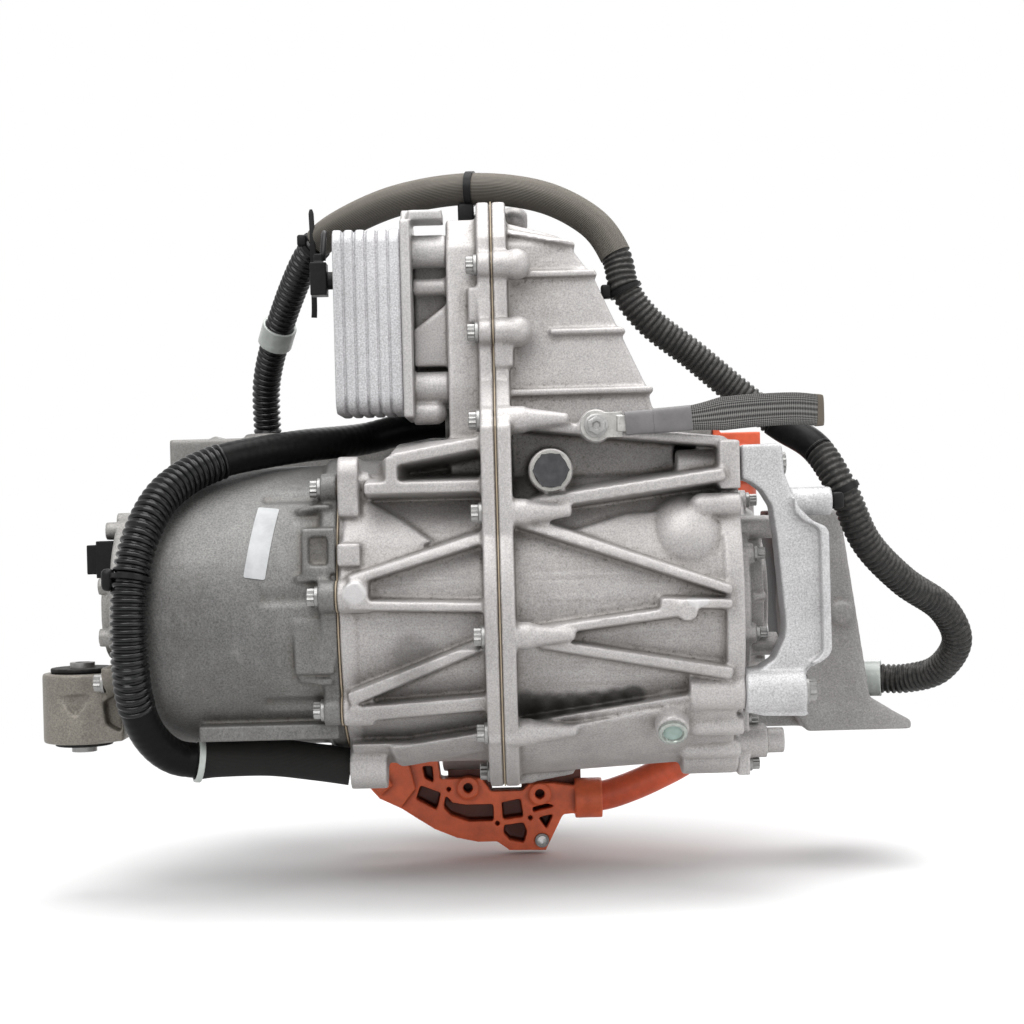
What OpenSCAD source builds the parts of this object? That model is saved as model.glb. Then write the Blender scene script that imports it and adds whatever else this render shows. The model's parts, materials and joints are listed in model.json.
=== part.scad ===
// Electric drive unit: motor, two-stage gearcase with differential, inverter, oil cooler and harness.
// Working frame: X along the shafts, case joint at X = 0, motor axis at Y = Z = 0, front is -Y, up is +Z.
// place() moves it so that the origin is the mouth of the right output bore. Sizes are in millimetres.

/* [Motor] */
// outer radius of the motor can
can_r = 112; // [110:0.5:113]
// distance from the case joint to the far end of the can
can_reach = 280; // [272:1:284]
// wall of the motor can around the stator
can_wall = 8; // [7:0.5:12]
// depth of the stator core from its back to the air gap
core_depth = 34.5; // [30:0.5:42]
// air gap between the rotor and the stator
air_gap = 1; // [0.6:0.1:2]
// length of the windings beyond each end of the stator core
winding_over = 27; // [24:1:37]
// radius of the round cover on the motor end
end_cover_r = 78; // [74:1:80]

/* [Gearcase] */
// length of the left case half, from the joint to the motor
left_len = 122; // [120:1:124]
// length of the right case half, from the joint to the end face
right_len = 184; // [180:1:186]
// outer radius of the round case wall
barrel_r = 115; // [113:0.5:117]
// wall thickness of the case halves
wall = 8; // [6:0.5:9]
// height of the ribs above the round case wall
rib_h = 17; // [13:1:19]
// thickness of one rib
rib_t = 7; // [5:0.5:9]
// width of the joint flange beyond the round case wall
flange_w = 27; // [24:1:30]
// thickness of one joint flange
flange_t = 11; // [9:0.5:12]
// thickness of the sealing joints
joint_t = 1.2; // [0.8:0.1:2]
// outer radius of the rear wall around the ring gear
rear_r = 101; // [99:0.5:103]

/* [Gear train] */
// teeth on the motor pinion
pinion_teeth = 27;
// teeth on the layshaft wheel
wheel_teeth = 77;
// module of the first stage
first_module = 1.75; // [1.7:0.05:1.8]
// teeth on the layshaft pinion
final_pinion_teeth = 23;
// teeth on the ring gear
ring_teeth = 74;
// module of the second stage
final_module = 2.25; // [2.2:0.05:2.3]
// face width of the first stage
first_face = 30; // [24:1:32]
// face width of the second stage
final_face = 42; // [36:1:44]
// radius of the splined bore in each output
output_bore_r = 13; // [11:0.5:14]

/* [Oil cooler] */
// number of plates in the cooler stack
cooler_plates = 12; // [8:1:14]
// height of the cooler stack
cooler_h = 145; // [130:1:150]
// depth of the cooler stack
cooler_d = 88; // [70:1:92]
// width of the cooler stack
cooler_w = 53; // [45:1:56]

/* [Mounts] */
// height of the left bush ring
bush_h = 56; // [50:1:60]
// outer radius of the left bush ring
bush_r = 32; // [30:0.5:33]
// radius of the rubber in the left bush
rubber_r = 23; // [20:0.5:24]
// bore radius of the left bush sleeve
sleeve_bore_r = 6.2; // [5:0.1:7]
// radius of the tapped holes in the right bracket
bracket_hole_r = 6; // [4:0.5:7]
// radius of the lifting eye hole
eye_r = 5.5; // [4:0.5:7]

/* [Harness] */
// radius of the long harness conduit
harness_r = 12; // [9:0.5:12.5]
// radius of the motor conduit
motor_conduit_r = 14; // [10:0.5:14]
// radius of the high-voltage tube
hv_r = 13; // [10:0.5:13.5]
// width of the ground strap
strap_w = 24; // [18:1:26]
// thickness of the ground strap
strap_t = 4; // [3:0.5:5]

/* [Inverter] */
// length of the inverter box
inverter_len = 480; // [470:2:484]
// depth of the inverter box
inverter_d = 108; // [100:1:112]
// height of the inverter box
inverter_h = 82; // [78:1:84]
// wall thickness of the inverter box
inverter_wall = 5; // [4:0.5:7]

/* [Hidden] */
$fn = 64;
// gap between pieces that rest on one another
fit = 0.06;
// gap between a turning sleeve and what it passes through
run_fit = 0.08;
half_joint = joint_t / 2;
motor_x = -left_len;
can_end = -can_reach;
stator_r = can_r - can_wall;
rotor_r = stator_r - core_depth - air_gap;
rib_r = barrel_r + rib_h;
flange_r = barrel_r + flange_w;
end_bolt_r = end_cover_r - 6;
end_spigot_r = end_cover_r - 12;
// shaft places in Y and Z
out_y = 185;
out_z = -60;
first_centre = first_module * (pinion_teeth + wheel_teeth) / 2;
final_centre = final_module * (final_pinion_teeth + ring_teeth) / 2;
out_gap = sqrt(out_y * out_y + out_z * out_z);
lay_along = (first_centre * first_centre + out_gap * out_gap - final_centre * final_centre) / (2 * out_gap);
lay_off = sqrt(first_centre * first_centre - lay_along * lay_along);
lay_y = (lay_along * out_y - lay_off * out_z) / out_gap;
lay_z = (lay_along * out_z + lay_off * out_y) / out_gap;
first_angle = atan2(lay_z, lay_y);
final_angle = atan2(out_z - lay_z, out_y - lay_y);
// places along X
bulk_x0 = -56;
bulk_x1 = -36;
final_x = -10;
first_x = right_len - 84;
end_wall_x = right_len - 48;
recess_x = right_len - 18;
stator_x0 = can_end + 23 + winding_over;
stator_x1 = bulk_x0 - 7 - winding_over;
diff_x = 16;
right_mouth = 112;
left_mouth = -80;
// bearings: Y, Z, first face, width, bore radius, outer radius, balls
bearings = [
    [0, 0, can_end - 16, 15, 15, 31, 9],
    [0, 0, -53, 16, 20, 36, 10],
    [0, 0, right_len - 34, 14, 15, 31, 9],
    [lay_y, lay_z, -52, 15, 15, 28, 8],
    [lay_y, lay_z, end_wall_x + 1, 14, 15, 28, 8],
    [out_y, out_z, -52, 15, 25, 38, 14],
    [out_y, out_z, 70, 15, 25, 38, 14]
];
function polar(r, a) = [r * cos(a), r * sin(a)];
// joint bolts: around the upper lobe in Y and Z, around the case wall and the rear wall as angle and distance outside it
lobe_bolts = [[-66, 263], [-73, 210], [20, 309], [72, 240], [78, 150]];
wall_bolts = [[127.6, 61.8], [149.3, 22.2], [189.6, 16.8], [224.1, 24.3], [270, 24], [42.9, 21.6], [295.3, 29.9]];
rear_bolts = [[30.3, 7.9], [-19.9, 7.5], [-70.1, 7.5]];
case_bolts_at = concat(
    lobe_bolts,
    [for (b = wall_bolts) polar(barrel_r + b[1], b[0])],
    [for (b = rear_bolts) [out_y, out_z] + polar(rear_r + b[1], b[0])]
);
// motor flange bolts, angles from the front towards the top
motor_bolt_angles = [5, 50, 140, 185, 230, 275, 320];
motor_bolt_r = can_r + 8;
// end cover bolts, angles from the back towards the top
end_bolt_angles = [-15, 36, 80, 118, 163, 195];
// ribs on the front, each from X, Z to X, Z
left_ribs = [
    [-79, 112, -8, 124], [-100, 91, -8, 91], [-112, 22, -8, 53], [-112, 4, -8, 0],
    [-116, -68, -8, -26], [-118, -80, -8, -73], [-86, -118, -8, -104], [-79, 88, -79, 114]
];
right_ribs = [
    [6, 68, 38, 78], [34, 77, right_len - 12, 95], [8, 67, right_len - 10, 8], [6, -22, 140, -6],
    [30, -28, right_len - 10, -55], [6, -98, right_len - 34, -75], [120, 0, right_len - 10, -2]
];
cooler_x1 = -71;
cooler_z = 150;
cooler_y = -64;
inverter_y = 146;
inverter_z = 60;
inverter_x1 = 190;
bush_x = can_end - 60;
bush_z = -106;
arm_x = can_end - 22;
bracket_y0 = -112;
bracket_y1 = -73;
upper_arm = [-78, 103];
lower_arm = [-100, -70];
bracket_x = right_len + fit;
level_x = right_len - 56;
level_tilt = 38;
hood_x = right_len + 44;
// conduit routes
harness_route = [
    [-205, 165, 146], [-203, 150, 190], [-189, 120, 230], [-167, 80, 272], [-148, 55, 297], [-121, 35, 313],
    [-74, 15, 328], [-16, 0, 333], [40, -10, 324], [80, -15, 302], [99, -20, 274], [106, -25, 245],
    [125, -25, 219], [158, -20, 193], [192, -15, 164], [226, -15, 136], [252, -40, 115], [270, -55, 81],
    [289, -45, 40], [321, -25, 8], [357, 0, -16], [373, 20, -44], [363, 45, -69], [340, 65, -78],
    [312, 75, -78], [296, 75, -78]
];
// motor conduit as X, angle around the motor and distance outside the can
motor_run = [
    [-37, 72.4, 40.1], [-75, 73.2, 36.4], [-111, 74.6, 27], [-156, 94.5, 16.4], [-201, 110.6, 16.2],
    [-221, 117, 15.9], [-240, 125.4, 15.6], [-257, 137.2, 16.1], [-269, 151.8, 15.1], [-276, 167, 12.2],
    [-278, 182.8, 12.1], [-278, 197.4, 14.8], [-277, 211, 16.3], [-271, 225, 18.1], [-258, 236.1, 20.6],
    [-238, 242.9, 19.5], [-184, 247.5, 18.9], [-150, 250.2, 20.9], [-121, 251.3, 22.1]
];
motor_route = [for (m = motor_run) [m[0], (can_r + m[2]) * cos(m[1]), (can_r + m[2]) * sin(m[1])]];
hv_route = [
    [72, 152, -184], [95, 151, -180], [130, 146, -166], [right_len - 19, 138, -145], [right_len + 6, 125, -110],
    [right_len + 16, 120, -40], [right_len + 17, 122, 22], [right_len + 18, 140, 48], [210, 158, 64],
    [212, 166, 78], [212, 166, 86]
];
strap_route = [
    [98, -112.2, 135], [147, -112.2, 138], [175, -107, 141], [200, -100, 143], [228, -92, 144], [247, -80, 143]
];

function unit(v) = v / norm(v);
function spline(a, b, c, d, t) =
    0.5 * (2 * b + (c - a) * t + (2 * a - 5 * b + 4 * c - d) * t * t + (3 * b - a - 3 * c + d) * t * t * t);
function at_end(p, i) = p[max(0, min(len(p) - 1, i))];
function route_path(p, n) = concat(
    [for (i = [0 : len(p) - 2]) for (k = [0 : n - 1])
        spline(at_end(p, i - 1), p[i], p[i + 1], at_end(p, i + 2), k / n)],
    [p[len(p) - 1]]
);
function tangent(p, i) = unit(at_end(p, i + 1) - at_end(p, i - 1));
function across(v, t) = unit(v - (v * t) * t);
function sides(p) = [
    for (i = 0, u = across([0.31, 0.2, 0.93], tangent(p, 0)); i < len(p);
         i = i + 1, u = i < len(p) ? across(u, tangent(p, i)) : u) u
];
function involute(r, base) = r <= base ? 0 : sqrt(r * r / (base * base) - 1) * 180 / PI - acos(base / r);
function tooth_half(r, z, m, slack) =
    (90 / z) + involute(m * z / 2, m * z / 2 * cos(20)) - involute(r, m * z / 2 * cos(20))
    - slack / (m * z / 2) * 90 / PI;
function gear_outline(z, m, slack) = [
    for (i = [0 : z - 1]) for (s = [-1, 1]) for (k = s < 0 ? [0, 1, 2] : [2, 1, 0])
        let (r = [m * z / 2 - 1.25 * m, m * z / 2, m * z / 2 + m][k], a = 360 * i / z + s * tooth_half(r, z, m, slack))
        [r * cos(a), r * sin(a)]
];
function bevel_outline(z, tip, pitch, root) = [
    for (i = [0 : z - 1]) for (p = [[root, -0.3], [pitch, -0.22], [tip, -0.12], [tip, 0.12], [pitch, 0.22], [root, 0.3]])
        [p[0] * cos(360 / z * (i + p[1])), p[0] * sin(360 / z * (i + p[1]))]
];

module place() {
    translate([-right_mouth, -out_y, -out_z]) children();
}

module block(a, b) {
    translate(a) cube(b - a);
}

module rod_x(r, x0, x1, y = 0, z = 0) {
    translate([x0, y, z]) rotate([0, 90, 0]) cylinder(r = r, h = x1 - x0);
}

module cone_x(r0, r1, x0, x1, y = 0, z = 0) {
    translate([x0, y, z]) rotate([0, 90, 0]) cylinder(r1 = r0, r2 = r1, h = x1 - x0);
}

module rod_y(r, y0, y1, x, z) {
    translate([x, y1, z]) rotate([90, 0, 0]) cylinder(r = r, h = y1 - y0);
}

module rod_z(r, z0, z1, x, y) {
    translate([x, y, z0]) cylinder(r = r, h = z1 - z0);
}

module prism_x(x0, x1) {
    translate([x0, 0, 0]) rotate([90, 0, 90]) linear_extrude(height = x1 - x0) children();
}

module prism_y(y0, y1) {
    translate([0, y1, 0]) rotate([90, 0, 0]) linear_extrude(height = y1 - y0) children();
}

module turned_x(y = 0, z = 0) {
    translate([0, y, z]) rotate([0, 90, 0]) rotate_extrude() children();
}

module ring_x(r0, r1, x0, x1, y = 0, z = 0) {
    difference() {
        rod_x(r1, x0, x1, y, z);
        rod_x(r0, x0 - 1, x1 + 1, y, z);
    }
}

module head_x(r, h) {
    rotate([0, 90, 0]) cylinder(r = r, h = h, $fn = 12);
}

// flange bolt with a twelve-sided head whose seat is at the origin and whose shank points along +X
module bolt_x(shank, length, head) {
    rotate([0, 90, 0]) cylinder(r = shank, h = length);
    translate([-2.2, 0, 0]) rotate([0, 90, 0]) cylinder(r = head, h = 2.2);
    translate([-8, 0, 0]) head_x(head * 0.76, 6);
}

module tube(route, r, steps, n) {
    p = route_path(route, steps);
    u = sides(p);
    rows = len(p);
    points = [for (i = [0 : rows - 1]) for (k = [0 : n - 1])
        p[i] + r * (cos(360 * k / n) * u[i] + sin(360 * k / n) * cross(tangent(p, i), u[i]))];
    skin = [for (i = [0 : rows - 2]) for (k = [0 : n - 1])
        [i * n + k, (i + 1) * n + k, (i + 1) * n + (k + 1) % n, i * n + (k + 1) % n]];
    polyhedron(
        points = points,
        faces = concat(skin, [[for (k = [0 : n - 1]) k], [for (k = [n - 1 : -1 : 0]) (rows - 1) * n + k]])
    );
}

// turns +Z into the direction of the route at one of its points
module at_route(route, i) {
    t = tangent(route, i);
    translate(route[i]) rotate([0, acos(t[2]), atan2(t[1], t[0])]) children();
}

module collar(r0, r1, h) {
    difference() {
        cylinder(r = r1, h = h, center = true);
        cylinder(r = r0, h = h + 2, center = true);
    }
}

// turns a plug's -Y into the direction of the sight glass
module at_level() {
    translate([level_x, 0, 0] + [0, -1, 0] * (barrel_r - 15) + [0, 0, -1] * (barrel_r - 25))
        rotate([level_tilt, 0, 0]) children();
}

module lobe_2d(grow) {
    offset(delta = grow)
        polygon([[-64, 40], [-64, 170], [-52, 280], [-34, 303], [36, 303], [54, 284], [66, 170], [66, 40]]);
}

module bridge_2d(grow) {
    polygon([
        [0, barrel_r - 15 + grow], [out_y, out_z + rear_r - 8 + grow],
        [out_y, out_z - rear_r + 8 - grow], [0, 15 - barrel_r - grow]
    ]);
}

module rear_2d(grow) {
    translate([out_y, out_z]) circle(r = rear_r + grow);
}

module flange_2d() {
    translate([0, -8]) circle(r = flange_r);
    polygon([[-128, 0], [-128, 135], [-70, 178], [0, 178], [0, 0]]);
    lobe_2d(13);
    rear_2d(13);
    bridge_2d(12);
    for (p = case_bolts_at) translate(p) circle(r = 10);
}

module sump_2d(r, z, y0 = -120) {
    intersection() {
        circle(r = r);
        translate([y0, -200]) square([70 - y0, 200 + z]);
    }
}

module gear_space_2d() {
    circle(r = barrel_r - wall);
    rear_2d(-wall);
    bridge_2d(-wall);
    sump_2d(rib_r - wall, -85, -38);
}

module rib_space_2d() {
    circle(r = rib_r);
    translate([-118, 0]) square([118, 128]);
}

module ribs(list, x0, x1) {
    intersection() {
        prism_x(x0, x1) rib_space_2d();
        union() {
            for (r = list)
                translate([r[0], 0, r[1]]) rotate([0, -atan2(r[3] - r[1], r[2] - r[0]), 0])
                    prism_x(0, norm([r[2] - r[0], r[3] - r[1]])) polygon([
                        [-150, 2 - rib_t / 2], [-150, rib_t / 2 - 2], [0, rib_t / 2 + 12], [0, -12 - rib_t / 2]
                    ]);
        }
    }
}

module lobe_side_2d(inset) {
    offset(delta = -inset)
        polygon([
            [-60, 60], [138, 60], [138, 134], [122, 150], [119, 164], [97, 213], [80, 252], [60, 280], [52, 287],
            [20, 297], [-60, 320]
        ]);
}

module bearing_seat(b, x0, x1) {
    rod_x(b[5] + fit, x0, x1, b[0], b[1]);
}

module motor_housing() {
    color("#8d8c88") place() difference() {
        union() {
            turned_x() polygon(concat(
                [[end_spigot_r - 6, motor_x - half_joint], [can_r + 5, motor_x - half_joint], [can_r + 5, motor_x - 12],
                 [can_r, motor_x - 15]],
                [for (a = [0 : 15 : 90]) [can_r - 20 + 20 * cos(a), can_end + 20 - 20 * sin(a)]],
                [[end_spigot_r - 6, can_end]]
            ));
            for (a = motor_bolt_angles)
                rod_x(12, motor_x - 14, motor_x - half_joint, -motor_bolt_r * cos(a), motor_bolt_r * sin(a));
            // boss box, gussets and pad on the front by the flange
            block([motor_x - 26, -can_r - 6, 28], [motor_x - half_joint, -60, 62]);
            for (a = [-27, 12, 41]) rotate([-a, 0, 0]) translate([0, 0, -2.5]) linear_extrude(height = 5)
                translate([motor_x, -can_r]) polygon([[-36, 5], [-31, -5], [-16, -9], [-6, -9], [-6, 5]]);
            block([motor_x - 34, -can_r - 1.5, -48], [motor_x - 4, -60, -8]);
            // rail along the bottom
            block([can_end + 46, 28 - can_r, 11.5 - can_r], [motor_x - 4, -40, 24 - can_r]);
            // foot for the inverter
            block([-216, 72, 44], [-186, 148, inverter_z - fit]);
        }
        rod_x(stator_r, can_end + 16, motor_x + 1);
        rod_x(end_spigot_r, can_end - 1, can_end + 20);
        for (a = motor_bolt_angles)
            rod_x(4.3, motor_x - 30, motor_x + 1, -motor_bolt_r * cos(a), motor_bolt_r * sin(a));
        for (a = motor_bolt_angles)
            rod_x(10.5, motor_x - 60, motor_x - 14, -motor_bolt_r * cos(a), motor_bolt_r * sin(a));
        block([motor_x - 21, -can_r - 8, 34], [motor_x - 6, -can_r - 1, 56]);
        rod_z(4.1, inverter_z - 12, inverter_z + 1, -201, 133);
        for (a = end_bolt_angles)
            rod_x(2.6, can_end - 1, can_end + 12, end_bolt_r * cos(a), end_bolt_r * sin(a));
    }
}

module motor_end_cover() {
    color("#9b9a96") place() difference() {
        union() {
            rod_x(end_cover_r, can_end - 22, can_end - fit);
            rod_x(end_spigot_r - fit, can_end - 1, can_end + 12);
            rod_x(40, can_end - 36, can_end - 20);
            for (a = end_bolt_angles)
                rod_x(7.2, can_end - 31, can_end - 10, end_bolt_r * cos(a), end_bolt_r * sin(a));
        }
        bearing_seat(bearings[0], can_end - 17, can_end + 13);
        rod_x(20, can_end - 32, can_end - 16);
        rod_x(52, can_end - 10, can_end + 13);
        for (a = end_bolt_angles)
            rod_x(2.7, can_end - 40, can_end + 2, end_bolt_r * cos(a), end_bolt_r * sin(a));
        for (a = end_bolt_angles)
            rod_x(5.6, can_end - 40, can_end - 22, end_bolt_r * cos(a), end_bolt_r * sin(a));
        for (y = [-40, 40]) rod_x(4.1, can_end - 23, can_end - 8, y, -56);
    }
}

module stator_core() {
    color("#5f6468") place() difference() {
        rod_x(stator_r - fit, stator_x0, stator_x1);
        rod_x(rotor_r + air_gap, stator_x0 - 1, stator_x1 + 1);
    }
}

module stator_windings() {
    color("#b3622e") place() {
        for (x = [stator_x0 - winding_over, stator_x1])
            ring_x(rotor_r + air_gap + 4, stator_r - 6, x + fit, x + winding_over - fit);
    }
}

module gearcase_left_outer() {
    prism_x(-flange_t - half_joint, -half_joint) flange_2d();
    rod_x(barrel_r, motor_x + half_joint, -4);
    rod_x(can_r + 5, motor_x + half_joint, motor_x + 11);
    prism_x(motor_x + 4, -4) sump_2d(rib_r - 3, -106);
    prism_x(bulk_x0, -4) rear_2d(0);
    prism_x(bulk_x0, -4) bridge_2d(0);
    prism_x(bulk_x1, -4) lobe_2d(0);
    cone_x(44, 70, bulk_x0 - 12, bulk_x0 + 1, out_y, out_z);
    rod_x(37, left_mouth, bulk_x0, out_y, out_z);
    ribs(left_ribs, motor_x + 6, -4);
    for (a = motor_bolt_angles)
        rod_x(12.6, motor_x + half_joint, motor_x + 24, -motor_bolt_r * cos(a), motor_bolt_r * sin(a));
    rod_y(8, -rib_r - 1, -90, -108, 13.6);
    // lifting ear
    rod_x(13, motor_x + half_joint, motor_x + 17, -92, 103);
    block([motor_x + half_joint, -104, 70], [motor_x + 17, -74, 100]);
    // conduit sockets
    rod_x(motor_conduit_r + 3, bulk_x1 - 7, -20, 46, 145);
    rod_x(motor_conduit_r + 3.5, motor_x + half_joint, motor_x + 30, -43, -127);
    // pads for the inverter and the duct
    rod_z(14, 20, inverter_z - fit, -30, 133);
    block([-46, 166 + fit, -182], [-22, 188, -140]);
    // tab beside the joint
    block([-19, -68, 216], [-6, -55, 246]);
    // raised field beside the motor joint
    intersection() {
        rod_x(barrel_r + 5, motor_x + half_joint, -4);
        prism_y(-140, -60) polygon([[-120, 20], [-116, 82], [-98, 81], [-72, 66], [-50, 50]]);
    }
    // lump by the motor joint
    block([motor_x + half_joint, -can_r - 8, 33], [motor_x + 18, -90, 50]);
    // lobe wall behind the cooler and its slanted web
    block([cooler_x1 + 8 + fit, -20, 156], [bulk_x1 + 1, 20, 292]);
    prism_y(-44, 0) polygon([[cooler_x1 + 8 + fit, 187], [cooler_x1 + 8 + fit, 216], [-20, 248], [-20, 187]]);
    rod_x(7, cooler_x1 + 8 + fit, bulk_x1 + 1, -36, 250);
}

module gearcase_left() {
    color("#a9a8a3") place() difference() {
        gearcase_left_outer();
        rod_x(stator_r, motor_x - 1, bulk_x0);
        prism_x(bulk_x1, 1) gear_space_2d();
        prism_x(bulk_x1 + wall, 1) lobe_2d(-wall);
        bearing_seat(bearings[1], -53, bulk_x1 + 1);
        rod_x(26, bulk_x0 - 1, -50);
        bearing_seat(bearings[3], -52, bulk_x1 + 1);
        rod_x(18, bulk_x0 + 1, -50, lay_y, lay_z);
        bearing_seat(bearings[5], -52, bulk_x1 + 1);
        rod_x(24, left_mouth - 1, -50, out_y, out_z);
        rod_x(27 + fit, left_mouth - 1, left_mouth + 12, out_y, out_z);
        for (p = case_bolts_at) rod_x(4.3, -20, 1, p[0], p[1]);
        for (p = case_bolts_at) rod_x(10.2, -58, -flange_t - half_joint, p[0], p[1]);
        for (a = motor_bolt_angles)
            rod_x(4.1, motor_x - 1, motor_x + 18, -motor_bolt_r * cos(a), motor_bolt_r * sin(a));
        rod_x(eye_r, motor_x - 1, motor_x + 20, -92, 103);
        rod_x(motor_conduit_r + 0.9, bulk_x1 - 8, -30, 46, 145);
        rod_x(motor_conduit_r + 0.9, motor_x - 1, motor_x + 8, -43, -127);
        rod_z(4.1, inverter_z - 20, inverter_z + 1, -30, 133);
        rod_y(4.1, 165, 186, -34, -171);
        for (z = [170, 278]) rod_x(4.1, bulk_x1 - 1, bulk_x1 + 6, 36, z);
    }
}

module gearcase_right_outer() {
    prism_x(half_joint, flange_t + half_joint) flange_2d();
    rod_x(barrel_r + 2, 4, right_len - 4);
    intersection() {
        cone_x(flange_r - 1, rib_r, 4, right_len - 6);
        prism_y(-118, 66) polygon([
            [4, -100], [right_len - 34, -77], [right_len - 6, -77], [right_len - 6, -200], [4, -200]
        ]);
    }
    rod_x(barrel_r + 10, right_len - 14, right_len);
    prism_x(4, 72) rear_2d(0);
    prism_x(4, 72) bridge_2d(0);
    rod_x(82, 4, recess_x - 4, lay_y, lay_z);
    cone_x(74, 50, 70, 88, out_y, out_z);
    rod_x(37, 80, right_mouth, out_y, out_z);
    intersection() {
        prism_x(4, 140) lobe_2d(0);
        prism_y(-90, 90) lobe_side_2d(0);
    }
    ribs(right_ribs, 4, right_len - 4);
    // shelf and the wall rib above it
    intersection() {
        block([2, -107, 60], [right_len - 6, 0, 150]);
        prism_y(-130, 10) polygon([
            [2, 143], [63, 136], [right_len - 10, 124], [right_len - 10, 116], [63, 128], [2, 135]
        ]);
    }
    // thin wall ribs on the upper lobe
    intersection() {
        prism_x(4, 132) lobe_2d(5);
        prism_y(-90, 0) lobe_side_2d(-4);
        union() {
            for (r = [[163, 4, 138], [210, 44, 124], [256, 14, 82]])
                block([r[1], -90, r[0] - 2.5], [r[2], 0, r[0] + 2.5]);
            prism_y(-90, 0) polygon([[10, 294], [66, 281], [66, 277], [10, 289]]);
        }
    }
    for (p = case_bolts_at) rod_x(10.5, half_joint, 22.5, p[0], p[1]);
    for (i = [0 : len(case_bolts_at) - 1]) {
        p = case_bolts_at[i];
        if (i < len(lobe_bolts)) translate([19, p[0], p[1]]) sphere(r = 12.2);
        else cone_x(10, 4, 18, 56, p[0], p[1]);
    }
    block([half_joint, -78, 183], [15, -60, 206]);
    // bosses for the bracket, the hood and the gallery cap
    rod_x(12, right_len - 46, right_len, upper_arm[0], upper_arm[1]);
    rod_x(14, right_len - 42, right_len, lower_arm[0], lower_arm[1]);
    for (b = [[228, 14, 34], [243, 16, 40], [146, 14, 30]]) {
        p = polar(barrel_r + b[1], b[0]);
        rod_x(9, right_len - b[2], right_len, p[0], p[1]);
        translate([right_len - b[2], p[0], p[1]]) sphere(r = 9);
    }
    rod_x(16, right_len - 34, right_len, 82, -100);
    rod_x(16, right_len - 34, right_len, 96, 74);
    rod_x(25, right_len - 44, right_len, -30, -116);
    block([right_len - 16, -112, 84], [right_len, -66, 121]);
    // plug and sensor bosses on the front
    rod_y(17, -112, -60, 41, 101);
    at_level() rod_y(13, -13, 40, 0, 0);
    rod_y(8, -rib_r - 1, -90, 140, -6);
    rod_y(13, -108, -80, 76, 134);
    // dome over the end bearing and the raised field below the upper rib
    translate([right_len - 40, 27 - barrel_r, 46]) sphere(r = 34);
    intersection() {
        rod_x(barrel_r + 7, 4, right_len - 4);
        prism_y(-140, -60) polygon([
            [46, 52], [66, 58], [98, 67], [right_len - 14, 69], [right_len - 10, 10], [right_len - 40, 18]
        ]);
    }
    // pads for the inverter and the duct
    rod_z(12, 40, 72 - fit, 112, 133);
    block([17, 166 + fit, -189], [41, 188, -140]);
}

module gearcase_right() {
    color("#b4b3ae") place() difference() {
        gearcase_right_outer();
        prism_x(-1, 66) gear_space_2d();
        prism_x(60, end_wall_x) {
            circle(r = barrel_r - wall + 2);
            sump_2d(rib_r - wall - 4, -85, -38);
            translate([lay_y, lay_z]) circle(r = 42);
        }
        rod_x(73, first_x - 5, end_wall_x, lay_y, lay_z);
        intersection() {
            prism_x(-1, 140 - wall) lobe_2d(-wall);
            prism_y(-90, 90) lobe_side_2d(wall);
        }
        bearing_seat(bearings[2], right_len - 35, recess_x + 1);
        rod_x(26, end_wall_x - 1, right_len - 34);
        rod_x(76, recess_x, right_len + 1);
        bearing_seat(bearings[4], end_wall_x - 1, right_len - 31);
        bearing_seat(bearings[6], 60, 86);
        rod_x(24, 80, right_mouth + 1, out_y, out_z);
        rod_x(27 + fit, right_mouth - 13, right_mouth + 1, out_y, out_z);
        for (p = case_bolts_at) rod_x(4.1, -1, 30, p[0], p[1]);
        for (p = [upper_arm, lower_arm]) rod_x(5.1, right_len - 36, right_len + 1, p[0], p[1]);
        for (p = [[82, -100], [96, 74], [-30, -134], [-30, -98]])
            rod_x(3.1, right_len - 20, right_len + 1, p[0], p[1]);
        for (a = [20 : 45 : 335]) rod_x(3.1, right_len - 14, right_len + 1, 80 * cos(a), 80 * sin(a));
        rod_y(9.1, -113, -84, 41, 101);
        at_level() rod_y(6.1, -14, 12, 0, 0);
        rod_y(4.1, -109, -88, 76, 134);
        rod_z(4.1, 52, 73, 112, 133);
        rod_y(4.1, 165, 186, 29, -178);
    }
}

module case_gaskets() {
    color("#a58a63") place() {
        difference() {
            prism_x(fit - half_joint, half_joint - fit) flange_2d();
            prism_x(-2, 2) gear_space_2d();
            prism_x(-2, 2) lobe_2d(-wall);
            for (p = case_bolts_at) rod_x(4.6, -2, 2, p[0], p[1]);
        }
        difference() {
            union() {
                rod_x(can_r + 5, motor_x - half_joint + fit, motor_x + half_joint - fit);
                for (a = motor_bolt_angles)
                    rod_x(12, motor_x - half_joint + fit, motor_x + half_joint - fit,
                        -motor_bolt_r * cos(a), motor_bolt_r * sin(a));
            }
            rod_x(stator_r + 0.5, motor_x - 2, motor_x + 2);
            for (a = motor_bolt_angles)
                rod_x(4.6, motor_x - 2, motor_x + 2, -motor_bolt_r * cos(a), motor_bolt_r * sin(a));
        }
        difference() {
            ring_x(76, 86, right_len + fit, right_len + joint_t - fit);
            for (a = [20 : 45 : 335]) rod_x(3.4, right_len - 1, right_len + 3, 80 * cos(a), 80 * sin(a));
        }
    }
}

module case_bolts() {
    color("#a6a5a0") place() {
        for (p = case_bolts_at)
            translate([-flange_t - half_joint - fit, p[0], p[1]]) bolt_x(4, flange_t + 20, 8.4);
    }
}

module motor_bolts() {
    color("#a6a5a0") place() {
        for (a = motor_bolt_angles)
            translate([motor_x - 14 - fit, -motor_bolt_r * cos(a), motor_bolt_r * sin(a)]) bolt_x(4, 30, 8.4);
    }
}

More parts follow.
